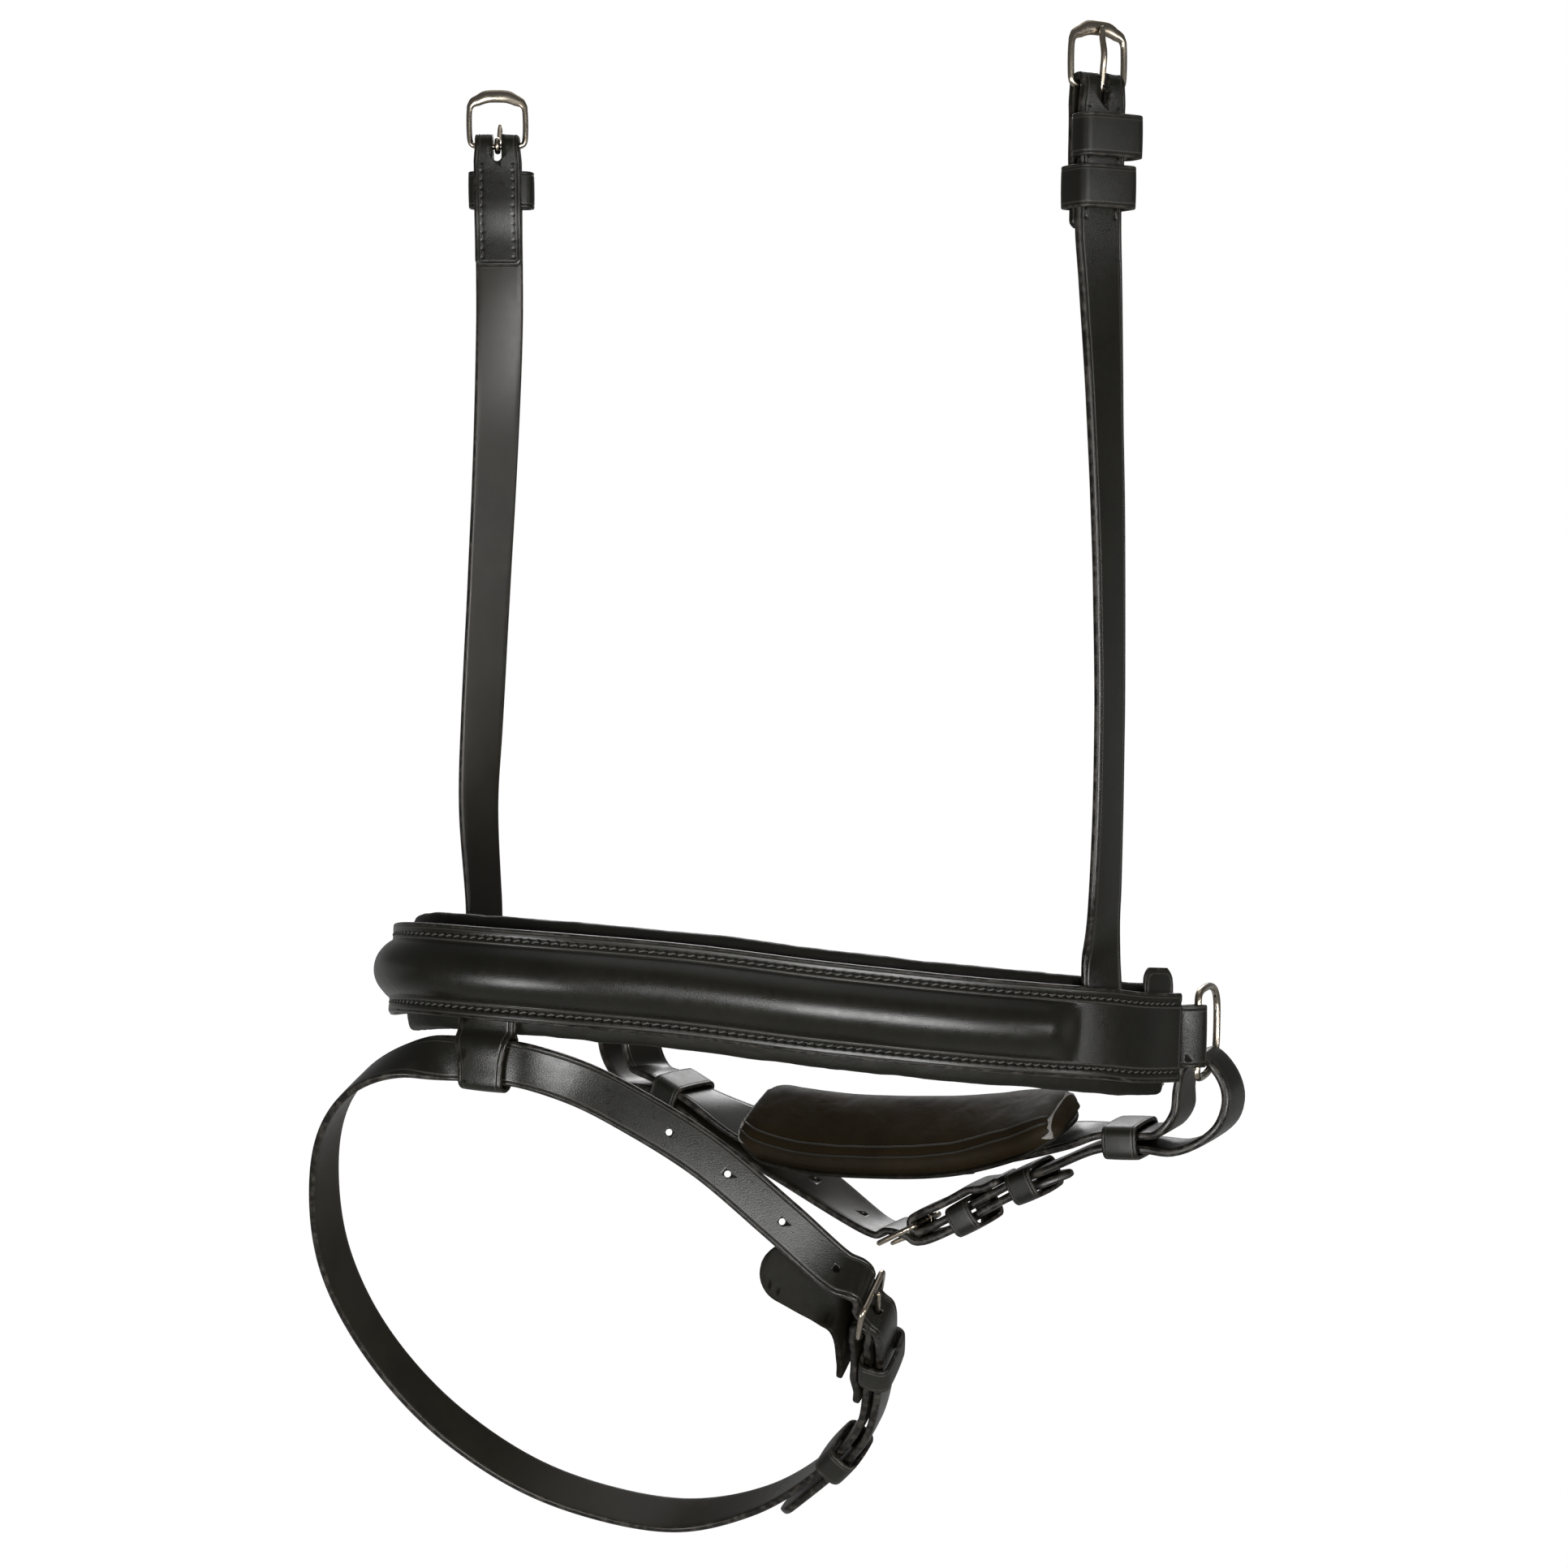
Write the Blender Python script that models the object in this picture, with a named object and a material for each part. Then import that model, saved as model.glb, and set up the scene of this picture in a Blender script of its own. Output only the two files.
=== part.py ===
"""Crank noseband with flash strap: every leather, metal and padding piece as its own solid.

Metres, +Z up.  The origin is the middle of the near cheek buckle's bar, the far buckle's bar
lies on -X, and the nose front points to -Y.  All sizes below are in millimetres.
"""

import math

import bmesh
import bpy
from mathutils import Vector

MM = 0.001
GAP = 0.3

# leather straps: width and thickness
CHEEK_WIDTH = 15.0
CHEEK_THICK = 2.3
FLASH_WIDTH = 12.8
FLASH_THICK = 2.2
CHIN_WIDTH = 16.0
CHIN_THICK = 2.5

# noseband
BAND_HALF = 13.0
BAND_THICK = 1.8
ROLL_HALF = 8.2
ROLL_PROUD = 5.0
MIDDLE_THICK = 2.8
LINING_TOP = 15.6
LINING_BOTTOM = 17.2
LINING_THICK = 6.4
BAND_START = 10.0
NEAR_SEAM = 32.2
FAR_SEAM = 40.7

# keepers and metal
KEEPER_WALL = 1.3
KEEPER_BAND = 11.5
FIXED_KEEPER_AT = 13.7
RUNNING_KEEPER_AT = 27.2
BAR_RADIUS = 1.0
DEE_WIRE = 1.1
CHEEK_BUCKLE_LONG = 14.5
FLASH_BUCKLE_LONG = 14.0
CHIN_BUCKLE_LONG = 15.0
HOLE_PITCH = 20.0

UP = Vector((0.0, 0.0, 1.0))


def vec(x, y, z):
    return Vector((x, y, z))


def turn(azimuth, rise=0.0):
    """Unit direction from an azimuth and a rise above the horizontal, in degrees."""
    a = math.radians(azimuth)
    r = math.radians(rise)
    return vec(math.cos(a) * math.cos(r), math.sin(a) * math.cos(r), math.sin(r))


class Route:
    """Smooth centre line through rows of (point, normal), measured by distance along it."""

    def __init__(self, rows, fine=0.5):
        points = [Vector(p) for p, n in rows]
        normals = [Vector(n).normalized() for p, n in rows]
        ends = [points[0] * 2 - points[1], points[-1] * 2 - points[-2]]
        padded = [ends[0]] + points + [ends[1]]
        faces = [normals[0]] + normals + [normals[-1]]
        knots = [0.0]
        for a, b in zip(padded, padded[1:]):
            knots.append(knots[-1] + max((b - a).length, 1e-6) ** 0.5)
        self.points = []
        self.faces = []
        self.row_dist = []
        for i in range(1, len(padded) - 2):
            count = max(2, int((padded[i + 1] - padded[i]).length / fine))
            self.row_dist.append(len(self.points))
            for j in range(count):
                u = knots[i] + (knots[i + 1] - knots[i]) * j / count
                self.points.append(blend_knots(padded, knots, i, u))
                self.faces.append(blend_knots(faces, knots, i, u).normalized())
        self.row_dist.append(len(self.points))
        self.points.append(points[-1].copy())
        self.faces.append(normals[-1].copy())
        self.dist = [0.0]
        for a, b in zip(self.points, self.points[1:]):
            self.dist.append(self.dist[-1] + (b - a).length)
        self.row_dist = [self.dist[k] for k in self.row_dist]
        self.length = self.dist[-1]

    def at(self, s):
        """Point, run direction, face normal and side direction at distance s."""
        s = min(max(s, 0.0), self.length)
        low, high = 0, len(self.dist) - 1
        while high - low > 1:
            mid = (low + high) // 2
            if self.dist[mid] > s:
                high = mid
            else:
                low = mid
        span = self.dist[high] - self.dist[low]
        f = (s - self.dist[low]) / span
        point = self.points[low].lerp(self.points[high], f)
        back = self.points[max(low - 1, 0)]
        front = self.points[min(high + 1, len(self.points) - 1)]
        here = (self.points[high] - self.points[low]).normalized()
        run = (here + (front - back).normalized()).normalized()
        face = self.faces[low].lerp(self.faces[high], f)
        face = (face - run * face.dot(run)).normalized()
        return point, run, face, run.cross(face)

    def place(self, s, lift=0.0, across=0.0):
        point, run, face, side = self.at(s)
        return point + face * lift + side * across

    def stops(self, start, end, reach=16.0, bend=12.0, extra=()):
        """Distances for cross sections: close together where the strap bends or twists."""
        keep = [start]
        last = self.at(start)
        limit = math.radians(bend)
        s = start
        while s < end - 0.8:
            s += 0.4
            frame = self.at(s)
            angle = max(last[1].angle(frame[1]), last[2].angle(frame[2]))
            if angle > limit or s - keep[-1] > reach:
                keep.append(s)
                last = frame
        while len(keep) > 1 and end - keep[-1] < 0.8:
            keep.pop()
        keep.append(end)
        for value in extra:
            if start < value < end and min(abs(value - k) for k in keep) > 0.05:
                keep.append(value)
        return sorted(keep)


def blend_knots(values, knots, i, u):
    """One point of a centripetal curve between values i and i+1."""
    k = knots[i - 1:i + 3]
    p = values[i - 1:i + 3]
    a = [mix(p[j], p[j + 1], k[j], k[j + 1], u) for j in range(3)]
    b = [mix(a[j], a[j + 1], k[j], k[j + 2], u) for j in range(2)]
    return mix(b[0], b[1], k[1], k[2], u)


def mix(a, b, ka, kb, u):
    f = (u - ka) / (kb - ka)
    return a * (1.0 - f) + b * f


def solid(name, rings, closed=False):
    """One closed body through rings of points, capped at both ends or joined end to end."""
    mesh = bmesh.new()
    made = [[mesh.verts.new(p * MM) for p in ring] for ring in rings]
    pairs = list(zip(made, made[1:]))
    if closed:
        pairs.append((made[-1], made[0]))
    for a, b in pairs:
        for j in range(len(a)):
            k = (j + 1) % len(a)
            mesh.faces.new((a[j], a[k], b[k], b[j]))
    if not closed:
        mesh.faces.new(list(reversed(made[0])))
        mesh.faces.new(made[-1])
    bmesh.ops.recalc_face_normals(mesh, faces=mesh.faces[:])
    if mesh.calc_volume(signed=True) < 0:
        bmesh.ops.reverse_faces(mesh, faces=mesh.faces[:])
    data = bpy.data.meshes.new(name)
    mesh.to_mesh(data)
    mesh.free()
    thing = bpy.data.objects.new(name, data)
    bpy.context.scene.collection.objects.link(thing)
    return thing


def slab(half, thick, cup=None, corner=0.32):
    """Strap cross section with softened corners, as (across, lift) pairs; cup curves it."""
    c = thick * corner
    h = thick / 2.0
    ring = [(-half, -h + c), (-half + c, -h), (half - c, -h), (half, -h + c),
            (half, h - c), (half - c, h), (-half + c, h), (-half, h - c)]
    if cup is not None:
        ring = ring[:2] + [(0.0, -h)] + ring[2:6] + [(0.0, h)] + ring[6:]
        return [(a, b - cup * a * a / 2.0) for a, b in ring]
    return ring


def end_width(ahead, half, shape):
    """Half width of a strap at a distance from its end."""
    if shape == "round" and ahead < half:
        return max(math.sqrt(max(half * half - (half - ahead) ** 2, 0.0)), half * 0.25)
    if shape == "point" and ahead < half * 1.3:
        return half * (0.34 + 0.66 * ahead / (half * 1.3))
    if shape == "soft" and ahead < 2.0:
        return half - 1.2 * (1.0 - ahead / 2.0) ** 2
    return half


def strap(name, route, start, end, width, thick, lift=0.0, ends=("soft", "soft"), taper=None, skive=None, cup=None):
    """Flat leather strap along a route; lift moves it along the face normal.

    taper and skive scale its width and thickness with the distance, and cup curves it across.
    """
    half = width / 2.0
    marks = []
    for shape, base, sign in ((ends[0], start, 1), (ends[1], end, -1)):
        if shape == "round":
            marks += [base + sign * half * f for f in (0.03, 0.12, 0.3, 0.6, 1.0)]
        if shape == "point":
            marks += [base + sign * half * 1.3]
        if shape == "soft":
            marks += [base + sign * d for d in (0.7, 2.0)]
    rings = []
    for s in route.stops(start, end, extra=marks):
        wide = min(end_width(s - start, half, ends[0]), end_width(end - s, half, ends[1]))
        if taper:
            wide *= taper(s)
        point, run, face, side = route.at(s)
        deep = thick * skive(s) if skive else thick
        curve = cup(s) if callable(cup) else cup
        rings.append([point + side * a + face * (b + lift) for a, b in slab(wide, deep, curve)])
    return solid(name, rings)


def profile(name, route, stations, section):
    """Loft of a section function of the distance, giving (across, lift) pairs."""
    rings = []
    for s in stations:
        point, run, face, side = route.at(s)
        rings.append([point + side * a + face * b for a, b in section(s)])
    return solid(name, rings)


def between(stations, start, end):
    """Shared stations inside a stretch, with its two ends."""
    return [start] + [s for s in stations if start + 0.6 < s < end - 0.6] + [end]


def tube(name, path, radii, sides=8, closed=False, flat=None):
    """Round wire along points; radii is one value or one per point, flat is the plane normal."""
    if not isinstance(radii, (list, tuple)):
        radii = [radii] * len(path)
    rings = []
    count = len(path)
    for i, point in enumerate(path):
        before = path[i - 1] if closed or i > 0 else path[i]
        after = path[(i + 1) % count] if closed or i < count - 1 else path[i]
        run = (after - before).normalized()
        up = (flat - run * flat.dot(run)).normalized()
        side = run.cross(up)
        r = radii[i]
        wide, tall = r if isinstance(r, tuple) else (r, r)
        ring = []
        for j in range(sides):
            a = 2.0 * math.pi * (j + 0.5) / sides
            ring.append(point + side * (math.cos(a) * wide) + up * (math.sin(a) * tall))
        rings.append(ring)
    return solid(name, rings, closed)


def loop(name, centre, run, face, half, low, high, band=KEEPER_BAND, wall=KEEPER_WALL, corner=2.0):
    """Keeper: a leather band closed round a strap; low and high are its inner limits."""
    side = run.cross(face).normalized()
    w = wall / 2.0
    corner = min(corner, (high - low) / 2.0 + w - 0.05)
    corners = [(half + w, high + w), (-half - w, high + w), (-half - w, low - w), (half + w, low - w)]
    path = []
    for i, (a, b) in enumerate(corners):
        sa = 1 if a > 0 else -1
        sb = 1 if b > (low + high) / 2 else -1
        ca = a - sa * corner
        cb = b - sb * corner
        for j in range(3):
            angle = math.radians(i * 90 + 45 * j)
            path.append((ca + math.cos(angle) * corner, cb + math.sin(angle) * corner, angle))
    c = wall * 0.3
    section = [(-band / 2, -w + c), (-band / 2 + c, -w), (band / 2 - c, -w), (band / 2, -w + c),
               (band / 2, w - c), (band / 2 - c, w), (-band / 2 + c, w), (-band / 2, w - c)]
    rings = []
    for a, b, angle in path:
        out = side * math.cos(angle) + face * math.sin(angle)
        rings.append([centre + side * a + face * b + run * x + out * y for x, y in section])
    return solid(name, rings, closed=True)


class Buckle:
    """Frame with a bar at its origin: along points to the outer bar, face to the outside."""

    def __init__(self, bar, along, face, inner, length, wire=0.9):
        self.bar = Vector(bar)
        self.along = Vector(along).normalized()
        face = Vector(face)
        self.face = (face - self.along * face.dot(self.along)).normalized()
        self.across = self.along.cross(self.face)
        self.inner = inner / 2.0
        self.length = length
        self.wire = wire

    def spot(self, across, along, out=0.0):
        return self.bar + self.across * across + self.along * along + self.face * out

    def frame(self, name, arch=0.0, head=1.0):
        """Bar, two sides and an outer bar that may be arched and broader."""
        w = self.inner + self.wire
        c = 1.9
        side = (self.wire, self.wire)
        broad = (self.wire * head, self.wire)
        outline = [(-w + 1.5, 0.0), (w - 1.5, 0.0), (w - 0.45, 0.45), (w, 1.5), (w + 0.1, self.length - c)]
        widths = [(BAR_RADIUS, BAR_RADIUS)] * 2 + [side] * 3
        for f in (0.3, 0.75):
            outline.append((w + 0.1 - c * f * f, self.length - c + c * math.sqrt(f) * 0.85))
            widths.append(side)
        for f in (-0.62, -0.25, 0.25, 0.62):
            outline.append((-f * w, self.length + arch * (1.0 - f * f)))
            widths.append(broad)
        for f in (0.75, 0.3):
            outline.append((-w - 0.1 + c * f * f, self.length - c + c * math.sqrt(f) * 0.85))
            widths.append(side)
        outline += [(-w - 0.1, self.length - c), (-w, 1.5), (-w + 0.45, 0.45)]
        widths += [side] * 3
        path = [self.spot(a, b) for a, b in outline]
        return tube(name, path, widths, sides=8, closed=True, flat=self.face)

    def prong(self, name, swing=0.0, bow=1.0, past=0.6, radius=0.75, rest=None):
        """Tongue with an eye round the bar; swing lifts its tip off the frame, in degrees."""
        eye = BAR_RADIUS + 0.2 + radius
        a = math.radians(swing)
        along = self.along * math.cos(a) + self.face * math.sin(a)
        out = self.face * math.cos(a) - self.along * math.sin(a)
        path = []
        for degrees in (-60, -95, -130, -165, -200, -235, -270):
            t = math.radians(degrees)
            path.append(self.bar + along * (math.cos(t) * eye) + out * (math.sin(t) * eye))
        rest = self.wire + radius + 0.2 if rest is None else rest
        tip = self.length + past
        path.append(self.bar + along * (tip * 0.25) + out * (eye + bow * 0.5))
        path.append(self.bar + along * (tip * 0.55) + out * ((eye + rest) / 2 + bow))
        path.append(self.bar + along * (tip * 0.85) + out * (rest + bow * 0.15))
        path.append(self.bar + along * (tip + 0.6) + out * (rest + 0.05))
        radii = [radius] * 7 + [radius, radius, radius * 0.95, radius * 0.75]
        return tube(name, path, radii, sides=8, flat=self.across)

    def fold(self, thick, low=0.0):
        """Rows of a strap that turns round the bar, from the back to the front."""
        r = BAR_RADIUS + GAP + thick / 2.0 + low
        rows = []
        for degrees in (-90, -60, -30, 0, 30, 60, 90):
            t = math.radians(degrees)
            out = self.along * math.cos(t) + self.face * math.sin(t)
            rows.append((self.bar + out * r, out))
        return rows


def hidden(thing):
    thing.hide_render = True
    thing.display_type = "WIRE"
    return thing


def cutter(name, centre, run, face, half, side_half, deep):
    """Oval punch: a slot along run, half long and side_half wide, through the leather."""
    side = run.cross(face).normalized()
    rings = []
    straight = max(half - side_half, 0.0)
    for out in (-deep, deep):
        ring = []
        for j in range(12):
            t = 2.0 * math.pi * (j + 0.5) / 12
            shift = straight if math.cos(t) > 0 else -straight
            ring.append(centre + run * (math.cos(t) * side_half + shift) + side * (math.sin(t) * side_half) + face * out)
        rings.append(ring)
    return hidden(solid(name, rings))


def slot_tools(name, buckle, thick, below=7.0, half=1.45):
    """Crew slot: a disc through the fold and an oval slot through both layers below it."""
    reach = BAR_RADIUS + GAP + thick + 0.15
    rings = []
    for a in (-half, half):
        ring = []
        for j in range(20):
            t = 2.0 * math.pi * j / 20
            ring.append(buckle.spot(a, math.cos(t) * reach, math.sin(t) * reach))
        rings.append(ring)
    disc = hidden(solid(name + "_disc", rings))
    centre = buckle.bar - buckle.along * (below / 2 - 0.5)
    return [disc, cutter(name + "_slot", centre, buckle.along, buckle.face, below / 2 + 0.5, half, reach)]


def prong_way(name, buckle):
    """Channel for the tongue where it passes up through the billet's hole."""
    rings = []
    for d in (2.2, buckle.length - 2.0):
        ring = []
        for j in range(12):
            t = 2.0 * math.pi * (j + 0.5) / 12
            ring.append(buckle.spot(math.cos(t) * 1.2, d, 2.15 + math.sin(t) * 1.25))
        rings.append(ring)
    return hidden(solid(name, rings))


def over_bar(buckle, thick):
    """Rows of a billet that comes from under the outer bar and lies over the heel bar's fold."""
    under = buckle.wire + GAP + thick / 2 + 0.1
    rows = [(buckle.spot(0, buckle.length, -under), buckle.face), (buckle.spot(0, buckle.length * 0.76, -under), buckle.face)]
    r = BAR_RADIUS + GAP * 2 + thick * 1.5 + 0.25
    for degrees in (18, 50, 85):
        t = math.radians(degrees)
        out = buckle.along * math.cos(t) + buckle.face * math.sin(t)
        rows.append((buckle.bar + out * r, out))
    return rows


def punch(target, tools):
    for tool in tools:
        step = target.modifiers.new(tool.name, "BOOLEAN")
        step.operation = "DIFFERENCE"
        step.solver = "EXACT"
        step.object = tool


def by_side(points):
    """Rows from points with the direction of the strap's width, which gives the face."""
    rows = []
    for i, (point, side) in enumerate(points):
        run = points[min(i + 1, len(points) - 1)][0] - points[max(i - 1, 0)][0]
        rows.append((point, side.cross(run).normalized()))
    return rows


def laid_on(route, items, sign=1.0):
    """Rows that follow another route at (distance, lift) pairs; sign -1 turns the face over."""
    rows = []
    for d, lift in items:
        point, run, face, side = route.at(d)
        rows.append((point + face * lift, face * sign))
    return rows


def crew_taper(middle):
    """The fold round a buckle's bar is a little narrower than the strap."""
    return lambda s: 0.94 + 0.06 * ease((abs(s - middle) - 4.0) / 5.0)


# noseband: leather, roll, stiffener, padded lining, ring ends

BAND_ROWS = [
    (12.3, 49, -269), (9, 39, -268), (6, 20, -265), (2, 6, -262), (-5, -8, -259.5), (-20, -28, -256),
    (-36, -44, -253), (-53, -59, -250), (-81, -77, -246), (-111, -94, -243.5), (-132, -101, -243),
    (-151, -102.5, -243.5), (-164.7, -98.9, -245), (-179, -89.8, -248), (-193.8, -74.3, -253),
    (-209.1, -57.2, -258), (-222.8, -34.4, -263), (-226.8, -14, -266.5), (-225.5, -1, -269), (-222, 17, -272),
    (-216, 35, -274), (-212, 45, -274),
]
LEAN = 5.0


def band_route():
    points = [vec(*row) for row in BAND_ROWS]
    rows = []
    for i, point in enumerate(points):
        run = points[min(i + 1, len(points) - 1)] - points[max(i - 1, 0)]
        flat = UP.cross(run).normalized()
        face = flat * math.cos(math.radians(LEAN)) + UP * math.sin(math.radians(LEAN))
        rows.append((point, face))
    return Route(rows)


def ease(x):
    x = min(max(x, 0.0), 1.0)
    return x * x * (3.0 - 2.0 * x)


def make_band(band):
    start = BAND_START
    end = band.length - BAND_START
    near_foot = NEAR_SEAM + start
    far_foot = end - FAR_SEAM

    def bulge(s):
        rise = min(s - (near_foot + 11.0), (far_foot - 11.0) - s)
        return ease(rise / 13.0)

    def outer_section(s):
        b = bulge(s)
        t = BAND_THICK
        back = 0.1
        front = [(1.0, 0.0), (0.86, 0.8), (0.66, 2.85), (0.36, 4.45), (0.0, ROLL_PROUD)]
        inner = [(0.78, 0.0), (0.66, 0.45), (0.46, 2.1), (0.24, 3.1), (0.0, ROLL_PROUD - 1.6)]
        h = BAND_HALF
        top = [(-h, back + 0.5), (-h, back + t - 0.6), (-h + 0.6, back + t)]
        for f, rise in front:
            top.append((-ROLL_HALF * f, back + t + rise * b))
        for f, rise in reversed(front[:-1]):
            top.append((ROLL_HALF * f, back + t + rise * b))
        top += [(h - 0.6, back + t), (h, back + t - 0.6), (h, back + 0.5), (h - 0.5, back)]
        for f, rise in inner:
            top.append((ROLL_HALF * f, back + rise * b))
        for f, rise in reversed(inner[:-1]):
            top.append((-ROLL_HALF * f, back + rise * b))
        top.append((-h + 0.5, back))
        return top

    marks = [near_foot + m for m in (11.0, 15.0, 19.0, 24.0)] + [far_foot - m for m in (11.0, 15.0, 19.0, 24.0)]
    marks += [TAB_AT + m for m in (-10.8, -10.4, 10.4, 10.8)] + [start + 5.5, end - 5.5]
    plain = [s for s in band.stops(start, end, 11.0, 10.0) if min(abs(s - m) for m in marks) > 2.0]
    stations = sorted(plain + marks)
    profile("noseband_outer", band, stations, outer_section)

    def core_section(s):
        b = bulge(s)
        base = 0.15
        slim = 0.62 + 0.38 * b
        arc = [(0.70, 0.35), (0.58, 0.72), (0.40, 1.8), (0.2, 2.7), (0.0, ROLL_PROUD - 1.95)]
        ring = [(-ROLL_HALF * 0.70 * slim, base), (ROLL_HALF * 0.70 * slim, base)]
        for f, rise in arc[1:]:
            ring.append((ROLL_HALF * f * slim, base + 0.35 * b + (rise - 0.35) * b))
        for f, rise in reversed(arc[1:-1]):
            ring.append((-ROLL_HALF * f * slim, base + 0.35 * b + (rise - 0.35) * b))
        return ring

    profile("noseband_roll_core", band, between(stations, near_foot + 19.0, far_foot - 19.0), core_section)

    def middle_section(s):
        top = BAND_HALF - 0.8
        low = -(BAND_HALF - 0.8)
        if abs(s - TAB_AT) < 10.6:
            low = -2.6
        return [(top, -0.1), (top, -0.1 - MIDDLE_THICK), (low, -0.1 - MIDDLE_THICK), (low, -0.1)]

    clear = CHEEK_WIDTH / 2 + 3.8
    profile("noseband_stiffener", band, between(stations, near_foot + clear, far_foot - clear), middle_section)

    face = -0.1 - MIDDLE_THICK - 0.15
    top = LINING_TOP
    low = -LINING_BOTTOM
    deep = face - LINING_THICK
    skin = [(7.5, face), (top - 1.6, face), (top - 0.3, face - 1.2), (top, face - 2.8), (top - 0.9, face - 4.8),
            (top - 4.2, deep + 0.3), (4.0, deep), (-6.0, deep), (low + 4.2, deep + 0.3), (low + 0.9, face - 4.8),
            (low, face - 2.8), (low + 0.3, face - 1.2), (low + 1.6, face), (-7.5, face)]
    hollow = [(-7.5, face - 0.9), (low + 2.3, face - 0.9), (low + 1.0, face - 2.9), (low + 4.4, deep + 1.2),
              (-6.0, deep + 0.9), (4.0, deep + 0.9), (top - 4.4, deep + 1.2), (top - 1.0, face - 2.9),
              (top - 2.3, face - 0.9), (7.5, face - 0.9)]
    profile("noseband_lining", band, stations, lambda s: skin + hollow)
    foam = [(-9.0, face - 1.15), (low + 3.0, face - 1.2), (low + 1.5, face - 2.9), (low + 4.8, deep + 1.6),
            (-6.0, deep + 1.2), (4.0, deep + 1.2), (top - 4.8, deep + 1.6), (top - 1.5, face - 2.9),
            (top - 3.0, face - 1.2), (9.0, face - 1.15)]
    profile("noseband_foam", band, between(stations, start + 0.4, end - 0.4), lambda s: foam)
    return start, end, near_foot, far_foot


RING_HALF = 13.2
RING_REACH = 19.8
RING_SQUARE = 0.55
CHAPE_WIDTH = 18.4
NEAR_HOLD_SHARE = 0.465
FAR_HOLD_SHARE = 0.5


def ring_end(label, band, edge, inward, azimuth, hold_share):
    """Chape folded round the ring's straight bar, both tails sewn inside the band."""
    chape = 1.1
    mid = -0.1 - MIDDLE_THICK / 2
    point, run, face, side = band.at(edge)
    out = -run * inward
    bar = point + face * mid
    frame = Buckle(bar, out, face, 22.0, 12.0)
    rows = []
    tails = ((17.0, 0.62), (13.0, 0.62), (9.5, 0.62), (7.0, 0.85), (5.0, 1.4))
    for d, gap in tails:
        p, r, f, w = band.at(edge + inward * d)
        rows.append((p + f * (mid - gap), -f))
    bent = frame.fold(chape, DEE_WIRE - BAR_RADIUS)
    front = []
    for d, gap in reversed(tails):
        p, r, f, w = band.at(edge + inward * d)
        front.append((p + f * (mid + gap), f))
    route = Route(rows + bent + front)
    strap(label + "_ring_chape", route, 0.0, route.length, CHAPE_WIDTH, chape)
    across = side if side.z > 0 else -side
    swung = turn(azimuth)
    path = [bar + across * (f * RING_HALF) for f in (-0.9, -0.3, 0.3, 0.9)]
    for degrees in range(10, 180, 16):
        t = math.radians(degrees)
        u = math.sin(t) ** RING_SQUARE
        v = math.copysign(abs(math.cos(t)) ** RING_SQUARE, math.cos(t))
        path.append(bar + swung * (u * RING_REACH) + across * (v * RING_HALF))
    tube(label + "_ring", path, DEE_WIRE, sides=10, closed=True, flat=swung.cross(across))
    return bar + swung * (RING_REACH * hold_share)


def cheek_rows(buckle, down, back_end, thick):
    """Turned end, fold and front layer of a cheek strap, then the hanging rows."""
    face = buckle.face
    along = buckle.along
    inner = thick / 2 + GAP / 2
    wide = thick / 2 + GAP + KEEPER_WALL / 2
    rows = []
    for d, lift in ((back_end, inner), (28.0, inner), (20.5, wide), (14.0, wide), (8.0, wide)):
        rows.append((buckle.bar - along * d - face * lift, -face))
    rows += buckle.fold(thick)
    for d, lift in ((8.0, wide), (14.0, wide), (20.5, wide), (28.0, inner), (38.0, inner)):
        rows.append((buckle.bar - along * d + face * lift, face))
    return rows + down


FOOT_CUP = 0.012


def foot_skive(route):
    """A sewn-in foot is thinned over its last stretch."""
    return lambda s: 1.0 - 0.34 * ease((s - (route.length - 34.0)) / 12.0)


def foot_cup(route):
    """The foot takes on the band's curve where it goes in."""
    return lambda s: FOOT_CUP * ease((s - (route.length - 40.0)) / 18.0)


def foot_in_band(band, distance):
    point, run, out, side = band.at(distance)
    return point, out


def plumb(foot, out, lift, height):
    """Point straight above the foot, inside the band's own layers."""
    high = (UP - out * UP.dot(out)).normalized()
    return foot + out * lift + high * height


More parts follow.
